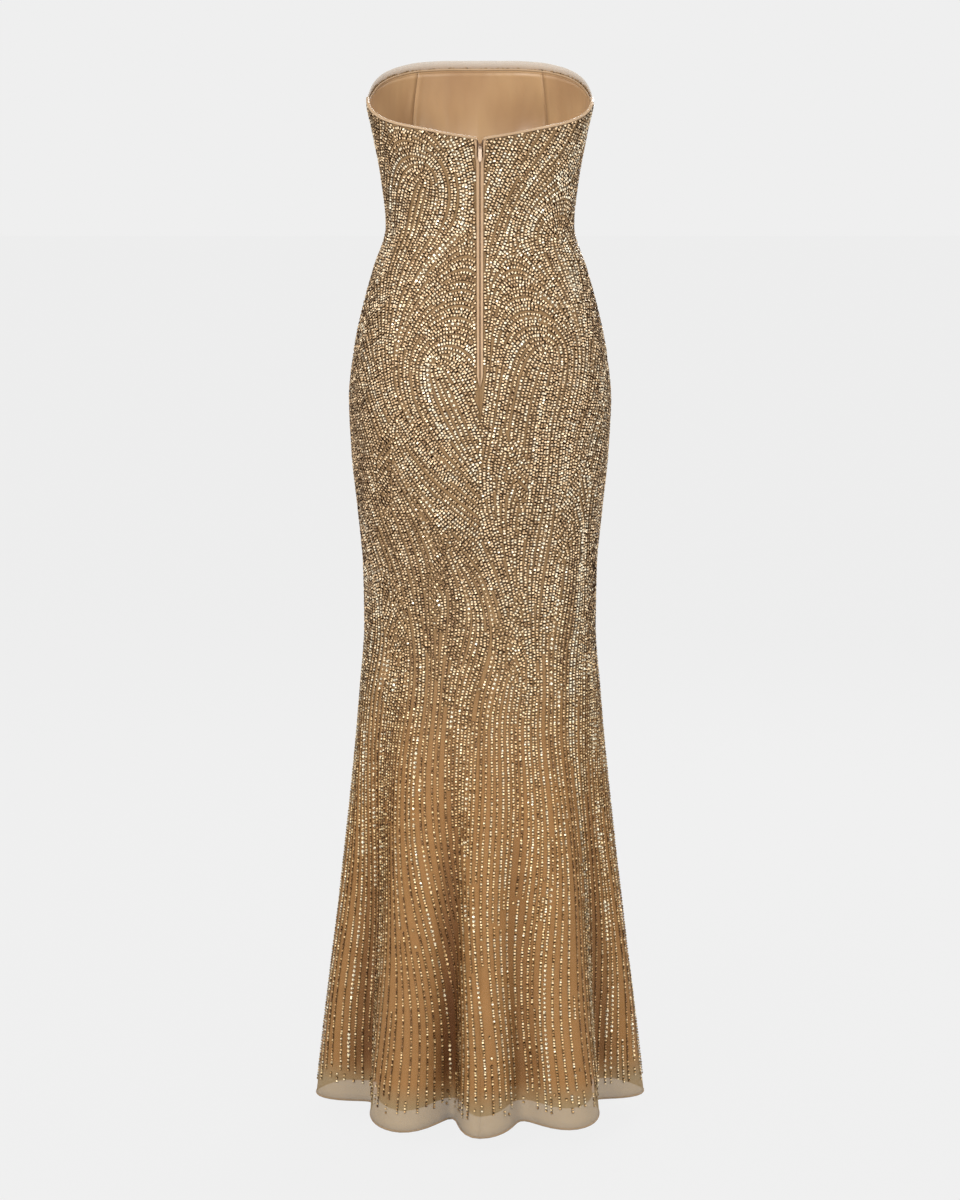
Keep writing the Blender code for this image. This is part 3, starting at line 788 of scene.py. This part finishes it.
def sewing_tree():
    """Sets a blank along the rows, stood on the cloth, turned with the row and a little tilted."""
    tree = bpy.data.node_groups.new("sewn along rows", "GeometryNodeTree")
    face = tree.interface
    face.new_socket(name="Rows", in_out="INPUT", socket_type="NodeSocketGeometry")
    for title, kind in (("Blank", "Object"), ("Spacing", "Float"), ("Tilt", "Float"),
                        ("Smallest", "Float"), ("Largest", "Float"), ("Seed", "Int"),
                        ("Finish", "Material")):
        face.new_socket(name=title, in_out="INPUT", socket_type="NodeSocket" + kind)
    face.new_socket(name="Sewn", in_out="OUTPUT", socket_type="NodeSocketGeometry")
    given = tree.nodes.new("NodeGroupInput").outputs
    shape, plain, shader = (node_adder(tree, family)
                            for family in ("GeometryNode", "FunctionNode", "ShaderNode"))

    def note(name, kind="FLOAT"):
        return shape("InputNamedAttribute", {"Name": name}, data_type=kind).outputs[0]

    def worked(operation, first, second):
        return shader("Math", {0: first, 1: second}, operation=operation).outputs[0]

    line = shape("MeshToCurve", {"Mesh": given["Rows"]})
    spaced = shape("ResampleCurve", {"Curve": line.outputs[0], "Length": given["Spacing"]},
                   mode="LENGTH")

    stand = plain("AlignRotationToVector", {"Vector": note("outward", "FLOAT_VECTOR")}, axis="Z")
    face_on = plain("AlignRotationToVector",
                    {"Rotation": stand.outputs[0], "Vector": shape("InputTangent").outputs[0]},
                    axis="X", pivot_axis="Z")
    tilt = plain("RandomValue", {0: worked("MULTIPLY", given["Tilt"], -1.0), 1: given["Tilt"],
                                 "Seed": given["Seed"]}, data_type="FLOAT_VECTOR")
    lean = plain("EulerToRotation", {0: tilt.outputs[0]})
    leaned = plain("RotateRotation", {"Rotation": face_on.outputs[0],
                                      "Rotate By": lean.outputs[0]}, rotation_space="LOCAL")

    size = plain("RandomValue", {2: given["Smallest"], 3: given["Largest"], "Seed": given["Seed"]},
                 data_type="FLOAT")
    chance = plain("RandomValue", {3: TONE_CHANCE}, data_type="FLOAT")
    toned = shape("StoreNamedAttribute", {
        "Name": "tone", "Geometry": spaced.outputs[0],
        "Value": worked("ADD", chance.outputs[1], note("row_tone"))},
        data_type="FLOAT", domain="POINT")

    blank = shape("ObjectInfo", {"Object": given["Blank"]})
    sewn = shape("InstanceOnPoints", {
        "Points": toned.outputs[0], "Instance": blank.outputs["Geometry"],
        "Rotation": leaned.outputs[0],
        "Scale": worked("MULTIPLY", size.outputs[1], note("row_size"))})
    real = shape("RealizeInstances", {0: sewn.outputs[0]})
    finished = shape("SetMaterial", {"Geometry": real.outputs[0], "Material": given["Finish"]})
    set_inputs(tree.nodes.new("NodeGroupOutput"), {"Sewn": finished.outputs[0]})
    return tree


sewing = sewing_tree()


def sewn_along(name, rows, blank, spacing, finish, tilt=0.0, sizes=(1.0, 1.0), seed=1):
    """Sews a blank along rows. Each row is its places, outward directions, sizes and tones."""
    places, outs, scales, tones = (np.concatenate([row[k] for row in rows]) for k in range(4))
    edges, start = [], 0
    for row in rows:
        edges.extend((k, k + 1) for k in range(start, start + len(row[0]) - 1))
        start += len(row[0])
    lines = bpy.data.meshes.new(name)
    lines.from_pydata(places.tolist(), edges, [])
    for title, kind, key, values in (("outward", "FLOAT_VECTOR", "vector", outs.ravel()),
                                     ("row_size", "FLOAT", "value", scales),
                                     ("row_tone", "FLOAT", "value", tones)):
        lines.attributes.new(title, kind, "POINT").data.foreach_set(key, values)
    holder = placed(name, lines)
    sewer = holder.modifiers.new("sewing", "NODES")
    sewer.node_group = sewing
    values = {"Blank": blank, "Spacing": spacing, "Tilt": radians(tilt), "Smallest": sizes[0],
              "Largest": sizes[1], "Seed": seed, "Finish": finish}
    for socket in sewing.interface.items_tree:
        if socket.in_out == "INPUT" and socket.name in values:
            sewer[socket.identifier] = values[socket.name]
    bpy.context.view_layer.update()
    shown = holder.evaluated_get(bpy.context.evaluated_depsgraph_get())
    mesh = bpy.data.meshes.new_from_object(shown)
    bpy.data.objects.remove(holder)
    mesh.name = name
    piece = placed(name, mesh)
    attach(piece, "gown")
    return piece


def cloth_row(bearing, height, depth, size=1.0, tone=0.0):
    """A row over the cloth, from bearings and heights."""
    bearing, height = np.broadcast_arrays(np.asarray(bearing, float), np.asarray(height, float))
    return (cloth_point(bearing, height, depth + 0 * height), outward(bearing, height),
            size + 0 * height, tone + 0 * height)


def thread_finish(name, colour, roughness):
    made, add, shade = new_finish(name)
    low = tuple(0.75 * value for value in colour)
    shade({"Base Color": blend_of(add, noted(add, "tone"), low, colour), "Roughness": roughness})
    return made


# The coil teeth are a dark brown, partly their own colour and partly painted shade in the gap
# between the strips.
coil_brown_and_painted_shade = thread_finish("coil_brown_and_painted_shade", (0.16, 0.085, 0.045), 0.35)
brown_thread = thread_finish("brown_thread", (0.26, 0.145, 0.07), 0.6)
hem_thread = thread_finish("hem_thread", (0.42, 0.27, 0.14), 0.6)

coil_tooth = plain_block("coil_tooth", (0.8 * MM, 1.5 * MM, 0.7 * MM), 0.8, 0.8)
level = np.concatenate([np.linspace(-2, -14, 7)[:-1], np.linspace(-14, -350, 170)])
height = zip_height(level)
teeth = [cloth_row(bearing_of(side * coil_offset(level), height, 0 * level), height, COIL_DEPTH)
         for side in (1, -1)]
sewn_along("zip_coil_teeth", teeth, coil_tooth, 1.25 * MM, coil_brown_and_painted_shade)

BELOW_ROLL, ABOVE_NET_HEM, ABOVE_LINING_HEM = 2.2, 1.6, 8.0
stitch = plain_block("stitch", (2.1 * MM, 0.45 * MM, 0.3 * MM), 0.8, 0.6)
around = np.arange(92, 268.5, 1.5)
under_roll = level_height(0 * around, around) - edge_drop("lining", around) - BELOW_ROLL
inner_face = BEAD_SHELL_DEPTH + LAYER_GAP + SATIN_THICKNESS / MM
places, outs, sizes, tones = cloth_row(around, under_roll, inner_face)
sewn_along("neckline_understitching", [(places, -outs, sizes, tones)], stitch, 2.7 * MM,
           brown_thread)

around = np.arange(0, 360.5, 1.5)
hem_line = level_height(HEM_HEIGHT + 0 * around, around) + ABOVE_NET_HEM
lining_line = hem_line + LINING_HEM_LIFT + ABOVE_LINING_HEM
lining_row = cloth_row(around, lining_line, layer_depth("lining", lining_line))
sewn_along("lining_hem_stitching", [lining_row], stitch, 3.2 * MM, brown_thread)
whip = plain_block("whip_stitch", (1.15 * MM, 1.5 * MM, 0.5 * MM), 0.6, 0.6)
sewn_along("tulle_hem_whipping", [cloth_row(around, hem_line, TULLE_DEPTH - 0.1)], whip, 1.3 * MM,
           hem_thread)

for node, (piece, flat, area) in sheets.items():
    end = node[node.index("_") + 1:]


# The beadwork: rows of small glass beads, sewn to the net. They swirl over the bodice and the hips,
# cross in leaf shapes over the thighs and fan out down the skirt, where they end at uneven heights.
ROUND_SCALE = 2.3
# Each swirl: the bearing and height of the core it turns round, and of the gap it leaves.
SWIRLS = (
    (317, -92, 303, -30),
    (336, -330, 352, -172),
    (40, -312, 27, -190),
    (64, -170, 72, -104),
    (100, -360, 92, -215),
    (262, -352, 272, -225),
    (145, -62, 128, -8),
    (216, -70, 236, -14),
    (166, -318, 180, -176),
    (208, -372, 218, -236),
)
# Each leaf: its bearing and height, half its length and width, its lean, and how its rows fan out.
LEAVES = (
    (309, -470, 74, 21, 10, 34),
    (20, -470, 62, 17, -16, 30),
    (334, -600, 66, 17, 12, 32),
    (56, -520, 80, 21, 8, 32),
    (24, -690, 70, 16, 8, 30),
    (304, -660, 70, 18, -8, 30),
    (80, -640, 84, 20, -6, 46),
    (278, -560, 84, 20, 6, 46),
    (120, -520, 90, 22, 10, 48),
    (158, -600, 90, 22, -10, 48),
    (196, -520, 90, 22, 10, 48),
    (236, -600, 90, 22, -8, 48),
)
# Each slant: its bearing and its reach round, its height and its reach down, and its degrees.
SLANTS = (
    (352, 46, -540, 120, 24.0),
    (10, 60, -740, 75, -13.0),
    (338, 24, -250, 60, 10.0),
    (333, 20, -1010, 210, 13.0),
    (36, 24, -1000, 220, -5.0),
)
# Each wave of the rows: its degrees, its lengths round and down, and where it starts and ends.
WAVES = ((10.0, 170.0, 330.0, -360, -800), (5.0, 240.0, 420.0, -740, -1320))
GIRTH = 828
WAVE_FADE = 90
SWIRL_END, SWIRL_FADE = -500, 180
ZIP_FOLLOW, ZIP_FOLLOW_END = 7.0, -310
GRID_BOTTOM, GRID_TOP, GRID_STEP = -1330, 61, 3.0
TRACE_STEP = 2.0
LONGEST_TRACE = 900
SHARPEST_TURN = 0.72
ROW_RIPPLE, RIPPLE_START, RIPPLE_FADE = 0.30, -620, 160
ROW_SPACING_HEIGHTS = (-1300, -1120, -1000, -900, -760, -640, -430, 60)
ROW_SPACINGS = (10.2, 8.8, 7.3, 6.1, 4.85, 4.3, 4.15, 4.15)
CLOSER_SHARE = 0.86
SLIVER_CHANCE, SLIVER_SHARE = 0.17, 1.72
SHORTEST_ROW = 6.0
ROOM_BESIDE, ROOM_INFILL, ROOM_SKIRT_INFILL = 0.995, 0.93, 0.84
INFILL_TOP, INFILL_SKIRT_TOP, INFILL_BOTTOM = 55, -635, -1305
TONE_KEPT, TONE_CHANGE = 0.72, 0.16
CELL_BEARING, CELL_HEIGHT = 2.0, 6.0
EDGE_CLEARANCE = 1.7
HEM_CLEARANCE = (18.0, 52.0)
ZIP_LEVELS = (-351, -330, -38, -26, -10, 0)
ZIP_HALF_WIDTHS = (0.3, 4.2, 4.9, 6.4, 6.4, 7.9)


def row_directions():
    """On a grid of bearings and heights: the rows' direction, and the cloth's own scale."""
    bearing, height = np.meshgrid(np.arange(0, 361, 1.0),
                                  np.arange(GRID_BOTTOM, GRID_TOP, GRID_STEP), indexing="ij")
    x, y = bearing * ROUND_SCALE, height
    angle = np.full_like(x, pi / 2)
    for core_x, core_y, gap_x, gap_y in SWIRLS:
        for image in (-720, -360, 0, 360, 720):
            angle += np.arctan2(y - core_y, x - (core_x + image) * ROUND_SCALE) / 2
            angle -= np.arctan2(y - gap_y, x - (gap_x + image) * ROUND_SCALE) / 2
    double = np.stack([np.cos(2 * angle), np.sin(2 * angle)])

    def turn_upright(share):
        return double * (1 - share) + np.array([-1.0, 0.0])[:, None, None] * share

    double = turn_upright(ease((SWIRL_END - height) / SWIRL_FADE))
    from_zip = np.minimum(bearing, 360 - bearing) * ROUND_SCALE - 4
    double = turn_upright(np.exp(-((from_zip / ZIP_FOLLOW) ** 2)) * (height > ZIP_FOLLOW_END))
    angle = np.arctan2(double[1], double[0]) / 2
    for degrees_of, round_length, down_length, start, end in WAVES:
        here = ease((start - height) / WAVE_FADE) * ease((height - end) / WAVE_FADE)
        turns = np.round(GIRTH / round_length) * bearing / 360 + height / down_length
        angle += radians(degrees_of) * here * np.sin(tau * turns)
    for at, spread_round, level, spread_down, degrees_of in SLANTS:
        across = (np.mod(bearing - at + 180, 360) - 180) / spread_round
        near = np.exp(-(across ** 2) - ((height - level) / spread_down) ** 2)
        angle += radians(degrees_of) * near
    for at, level, half_length, half_width, lean, fan in LEAVES:
        across = (np.mod(bearing - at + 180, 360) - 180) * ROUND_SCALE
        along = height - level
        lean_of = radians(lean)
        down = along * cos(lean_of) + across * sin(lean_of)
        over = across * cos(lean_of) - along * sin(lean_of)
        inside = np.abs(over) < half_width * (1 - (down / half_length) ** 2)
        angle = np.where(inside, pi / 2 - lean_of + np.sign(over + 0.01) * radians(fan), angle)
    round_it = (form(bearing + 0.25, height) - form(bearing - 0.25, height)) * 2
    up_it = form(bearing, height + 0.5) - form(bearing, height - 0.5)
    scales = [np.linalg.norm(round_it, axis=-1), np.linalg.norm(up_it, axis=-1),
              (round_it * up_it).sum(-1)]
    return np.stack([np.cos(2 * angle), np.sin(2 * angle), *scales], -1).tolist()


class BeadRows:
    """Rows drawn one beside another over the whole cloth, each kept clear of the others."""

    def __init__(self):
        self.grid = row_directions()
        self.cells = {}
        self.rows = []
        self.dice = Random(11)
        self.tops = top_height(np.arange(0, 361, 1.0)).tolist()
        self.hems = level_height(np.full(361, HEM_HEIGHT), np.arange(0, 361, 1.0)).tolist()
        heights = np.arange(GRID_BOTTOM, GRID_TOP, 1.0)
        self.gaps = np.interp(heights, ROW_SPACING_HEIGHTS, ROW_SPACINGS).tolist()
        self.swell = (ROW_RIPPLE * ease((RIPPLE_START - heights) / RIPPLE_FADE)).tolist()
        turns = np.radians(np.arange(0, 361, 1.0))
        self.ripple = (0.6 * np.sin(9 * turns + 0.6) + 0.4 * np.sin(17 * turns + 2.0)).tolist()

    def look(self, bearing, height):
        """The direction and scale at a place, from the grid's four corners round it."""
        bearing %= 360.0
        i = min(359, int(bearing))
        s = (height - GRID_BOTTOM) / GRID_STEP
        j = min(len(self.grid[0]) - 2, max(0, int(s)))
        u, v = bearing - i, s - j
        a, b = self.grid[i][j], self.grid[i + 1][j]
        c, d = self.grid[i][j + 1], self.grid[i + 1][j + 1]
        p, q, r, t = (1 - u) * (1 - v), u * (1 - v), (1 - u) * v, u * v
        return [p * a[k] + q * b[k] + r * c[k] + t * d[k] for k in range(5)]

    def spacing(self, bearing, height):
        """The distance between rows: even above, closer and wider by turns round the skirt."""
        at = min(len(self.gaps) - 1, max(0, int(height - GRID_BOTTOM)))
        return self.gaps[at] * (1 + self.swell[at] * self.ripple[int(bearing) % 360])

    def on_cloth(self, bearing, height, here, end_gap):
        """Whether a place is clear of the top edge, the zip and the hem."""
        bearing %= 360.0
        i = min(359, int(bearing))
        u = bearing - i
        drop = SHEER_EDGE_HEIGHT + 1.0 if 90 < bearing < 270 else EDGE_STRIP_HEIGHT + 2.0
        top = self.tops[i] * (1 - u) + self.tops[i + 1] * u
        hem = self.hems[i] * (1 - u) + self.hems[i + 1] * u
        if not hem + end_gap < height < top - drop:
            return False
        level = height - TOP_EDGE[0][1]
        if level < ZIP_LEVELS[0] - 1:
            return True
        half_zip = float(np.interp(level, ZIP_LEVELS, ZIP_HALF_WIDTHS))
        return min(bearing, 360 - bearing) * here[2] > half_zip + EDGE_CLEARANCE

    def clear(self, bearing, height, here, gap, row, order, skip):
        """Whether no place of another row, or of this one far along, is nearer than a gap."""
        bearing %= 360.0
        reach = gap / here[2]
        low, high = int((height - gap) // CELL_HEIGHT), int((height + gap) // CELL_HEIGHT)
        first = int((bearing - reach) // CELL_BEARING)
        last = int((bearing + reach) // CELL_BEARING)
        nearest = gap * gap
        for i in range(first, last + 1):
            turn = 360 if i >= 180 else -360 if i < 0 else 0
            for j in range(low, high + 1):
                for b, h, other, place in self.cells.get((i % 180, j), ()):
                    if other == row and abs(place - order) < skip:
                        continue
                    db, dh = b + turn - bearing, h - height
                    away = (db * here[2]) ** 2 + (dh * here[3]) ** 2 + 2 * db * dh * here[4]
                    if away < nearest:
                        return False
        return True

    def store(self, bearing, height, row, order):
        bearing %= 360.0
        cell = (int(bearing // CELL_BEARING) % 180, int(height // CELL_HEIGHT))
        self.cells.setdefault(cell, []).append((bearing, height, row, order))

    def heading(self, here, turn):
        """A row's direction at a place, the way along it that goes on from the last turn."""
        angle = atan2(here[1], here[0]) / 2
        dx, dy = cos(angle), sin(angle)
        return (-dx, -dy) if dx * turn[0] + dy * turn[1] < 0 else (dx, dy)

    def grow(self, bearing, height, turn, row, sign, end_gap):
        """Follows the swirl one way from a start until the cloth's edge or another row."""
        points = []
        while len(points) < LONGEST_TRACE:
            here = self.look(bearing, height)
            dx, dy = self.heading(here, turn)
            here = self.look(bearing + dx * TRACE_STEP / 2 / here[2],
                             height + dy * TRACE_STEP / 2 / here[3])
            mx, my = self.heading(here, (dx, dy))
            if mx * turn[0] + my * turn[1] < SHARPEST_TURN and points:
                break
            bearing += mx * TRACE_STEP / here[2]
            height += my * TRACE_STEP / here[3]
            turn = (mx, my)
            if not self.on_cloth(bearing, height, here, end_gap):
                break
            gap = self.spacing(bearing, height) * CLOSER_SHARE
            order = sign * (len(points) + 1)
            skip = int(gap * 1.7 / TRACE_STEP) + 2
            if not self.clear(bearing, height, here, gap, row, order, skip):
                break
            self.store(bearing, height, row, order)
            points.append((bearing, height, mx * sign, my * sign))
        return points

    def draw(self, bearing, height, tone, room=ROOM_BESIDE):
        """Draws a row through a place if there is room, and gives the places beside it."""
        here = self.look(bearing, height)
        end_gap = self.dice.uniform(*HEM_CLEARANCE)
        if not self.on_cloth(bearing, height, here, end_gap):
            return ()
        if not self.clear(bearing, height, here, self.spacing(bearing, height) * room, -1, 0, 0):
            return ()
        row = len(self.rows)
        angle = atan2(here[1], here[0]) / 2
        turn = (cos(angle), sin(angle))
        self.store(bearing, height, row, 0)
        ahead = self.grow(bearing, height, turn, row, 1, end_gap)
        behind = self.grow(bearing, height, (-turn[0], -turn[1]), row, -1, end_gap)
        points = behind[::-1] + [(bearing, height, *turn)] + ahead
        if len(points) * TRACE_STEP < SHORTEST_ROW:
            points = [(bearing, height, *turn),
                      (bearing + turn[0] / here[2], height + turn[1] / here[3], *turn)]
        tone = TONE_KEPT * tone + self.dice.uniform(-TONE_CHANGE, TONE_CHANGE)
        self.rows.append((tone, points))
        shares = [SLIVER_SHARE if self.dice.random() < SLIVER_CHANCE else 1.01 for _ in range(2)]
        beside = []
        for b, h, dx, dy in points[::2]:
            here = self.look(b, h)
            for side, share in zip((1, -1), shares):
                gap = self.spacing(b, h) * share * side
                beside.append((b - dy * gap / here[2], h + dx * gap / here[3], tone))
        return beside

    def fill(self):
        """Draws rows out from the cores of the swirls, and then wherever there is room left."""
        waiting = [(core[0], core[1] + 3.0, 0.0) for core in SWIRLS]
        at = 0
        while at < len(waiting):
            waiting.extend(self.draw(*waiting[at]))
            at += 1
        for height in range(INFILL_TOP, INFILL_BOTTOM, -3):
            room = ROOM_INFILL if height > INFILL_SKIRT_TOP else ROOM_SKIRT_INFILL
            for bearing in range(0, 360):
                self.draw(bearing + (INFILL_TOP - height) % 2 / 2, height, 0.0, room)
        return self.rows


bead_rows = BeadRows().fill()

BEAD_SPACING = 3.7 * MM
BEAD_SIZE = (3.65 * MM, 4.3 * MM, 1.85 * MM)
BEAD_SHAPE = {"along": 0.60, "across": 0.60, "flank_painted_light": 0.18}
SKIRT_BEAD_SIZE = (3.9 * MM, 3.6 * MM, 1.75 * MM)
SKIRT_BEAD_SHAPE = {"along": 0.60, "across": 0.68, "flank_painted_light": 0.3}
BEAD_TILT = 21.0
CRYSTAL_SPACING = 5.5 * MM
CRYSTAL_SIZE = (5.0 * MM, 5.0 * MM, 1.95 * MM)
STRING_CHANCE, STRING_TONE = 0.15, 0.38
STRING_LENGTHS, STRING_GAPS = (7, 34), (8, 60)
ROW_SIZES, ROW_TONE, FOLD_PAINTED_SHADE = (0.92, 1.03), 0.08, 0.4
# Each part of the beadwork: its name, and the heights it lies between.
BEAD_PARTS = (("bodice", -260, 80), ("hips", -520, -260), ("thighs", -800, -520),
              ("skirt", -1400, -800))


def colour_scale(add, share, stops):
    """A scale of colours by a share from 0 to 1."""
    scale = add("ValToRGB", {"Fac": share})
    ramp = scale.color_ramp.elements
    ramp[0].position, ramp[0].color = stops[0][0], (*stops[0][1], 1)
    ramp[1].position, ramp[1].color = stops[-1][0], (*stops[-1][1], 1)
    for position, colour in stops[1:-1]:
        ramp.new(position).color = (*colour, 1)
    return scale.outputs["Color"]


def bead_finish(name, pale, warm):
    """Gold-lined glass. The table shows the lining's gold, warmer on the skirt, and the cut sides
    are painted near black, as painted shade between the beads."""
    made, add, shade = new_finish(name)
    tone, table = noted(add, "tone"), noted(add, "table")
    height = add("SeparateXYZ", {0: add("TexCoord").outputs["Object"]}).outputs["Z"]
    gold = blend_of(add, ranged(add, height, -0.6, -0.95), colour_scale(add, tone, pale),
                    colour_scale(add, tone, warm))
    # Each face's mark mixes the gold with this near black: the dark sides and ends are painted
    # shade.
    side = blend_of(add, tone, (0.009, 0.003, 0.001), (0.055, 0.022, 0.008))
    shade({"Base Color": blend_of(add, table, side, gold), "Metallic": 0.2,
           "Specular IOR Level": ranged(add, table, 0.0, 1.0, 0.06, 0.4),
           "Roughness": ranged(add, tone, 0.0, 1.0, 0.45, 0.3)})
    return made


PALE_GOLDS = (
    (0.0, (0.34, 0.20, 0.10)),
    (0.3, (0.65, 0.435, 0.237)),
    (0.6, (0.89, 0.66, 0.405)),
    (1.0, (1.0, 0.90, 0.68)),
)
WARM_GOLDS = (
    (0.0, (0.22, 0.105, 0.035)),
    (0.25, (0.54, 0.31, 0.12)),
    (0.5, (0.94, 0.67, 0.33)),
    (1.0, (1.0, 0.92, 0.68)),
)
gold_beads = bead_finish("gold_lined_beads", PALE_GOLDS, WARM_GOLDS)


def sewn_rows(rows, seed):
    """Rows with their beads' sizes and tones. Parts of some rows are strings of crystals."""
    dice = Random(seed)
    beads, crystals = [], []
    for tone_of, row in rows:
        bearing, height = np.array([point[:2] for point in row]).T
        on_skirt = ease((-640 - height) / 200)
        size = dice.uniform(*ROW_SIZES) * (1 + 0.25 * tone_of) * (1 - 0.14 * on_skirt)
        tone = 0.1 + tone_of + dice.uniform(-ROW_TONE, ROW_TONE)
        # Beads deep in the skirt's folds get a darker tone: painted shade.
        tone = tone - FOLD_PAINTED_SHADE * fold_shade_share(bearing, height)
        stops = [0, len(row)]
        if dice.random() < STRING_CHANCE and len(row) > 14:
            at = dice.randrange(2, 40)
            stops = [0]
            while at < len(row) - 8:
                length = dice.randrange(*STRING_LENGTHS)
                stops += [at, min(len(row), at + length)]
                at += length + dice.randrange(*STRING_GAPS)
            if stops[-1] < len(row) or len(stops) % 2:
                stops.append(len(row))
        whole = cloth_row(bearing, height, TULLE_DEPTH - 0.05)[:2] + (size, tone)
        for k, (start, end) in enumerate(zip(stops, stops[1:])):
            if end - start > 1:
                part = tuple(values[start:end] for values in whole)
                if k % 2:
                    size_of = np.full(end - start, dice.uniform(0.8, 1.05))
                    part = part[:2] + (size_of, part[3] + STRING_TONE)
                (crystals if k % 2 else beads).append(part)
    return beads, crystals


def split_rows(rows, front, low, high):
    """The stretches of the rows that lie in one part of the gown."""
    kept = []
    for tone, row in rows:
        stretch = []
        for point in row:
            inside = (90 <= point[0] % 360 < 270) == front and low <= point[1] < high
            if inside:
                stretch.append(point)
            if not inside or point is row[-1]:
                if len(stretch) > 1:
                    kept.append((tone, stretch))
                stretch = []
    return kept


def cut_crystal(name, size, table_share):
    """An eight-sided cut stone. Its table and every other facet are painted brighter: painted
    glints.
    """
    round_it = [(cos(k * tau / 8) / 2, sin(k * tau / 8) / 2) for k in range(8)]
    foot = [(x * size[0], y * size[1], 0) for x, y in round_it]
    table = [(x * size[0] * table_share, y * size[1] * table_share, size[2]) for x, y in round_it]
    sides = [(k, (k + 1) % 8, 8 + (k + 1) % 8, 8 + k) for k in range(8)]
    # The table is marked bright and the facets by turns brighter and darker: painted glints and
    # shade.
    return marked_blank(name, foot + table,
                        [tuple(range(8))[::-1], tuple(range(8, 16)), *sides],
                        [0, 1] + [0.7, 0.1] * 4)


bead_blank = plain_block("bead", BEAD_SIZE, **BEAD_SHAPE)
skirt_blank = plain_block("skirt_bead", SKIRT_BEAD_SIZE, **SKIRT_BEAD_SHAPE)
crystal_blank = cut_crystal("crystal", CRYSTAL_SIZE, 0.6)
all_crystals = {"back": [], "front": []}
groups = [(side, *part) for side in all_crystals for part in BEAD_PARTS]
for number, (side, part, low, high) in enumerate(groups):
    rows = split_rows(bead_rows, side == "front", low, high)
    beads, crystals = sewn_rows(rows, 50 + number)
    all_crystals[side] += crystals
    blank = skirt_blank if part == "skirt" else bead_blank
    sewn_along(f"beads_{side}_{part}", beads, blank, BEAD_SPACING, gold_beads, tilt=BEAD_TILT,
               sizes=(0.92, 1.05), seed=20 + number)
for side, crystals in all_crystals.items():
    sewn_along("crystals_" + side, crystals, crystal_blank, CRYSTAL_SPACING, gold_beads,
               tilt=BEAD_TILT, sizes=(0.85, 1.1), seed=40)
for blank in (bead_blank, skirt_blank, crystal_blank, coil_tooth, stitch, whip):
    bpy.data.objects.remove(blank)
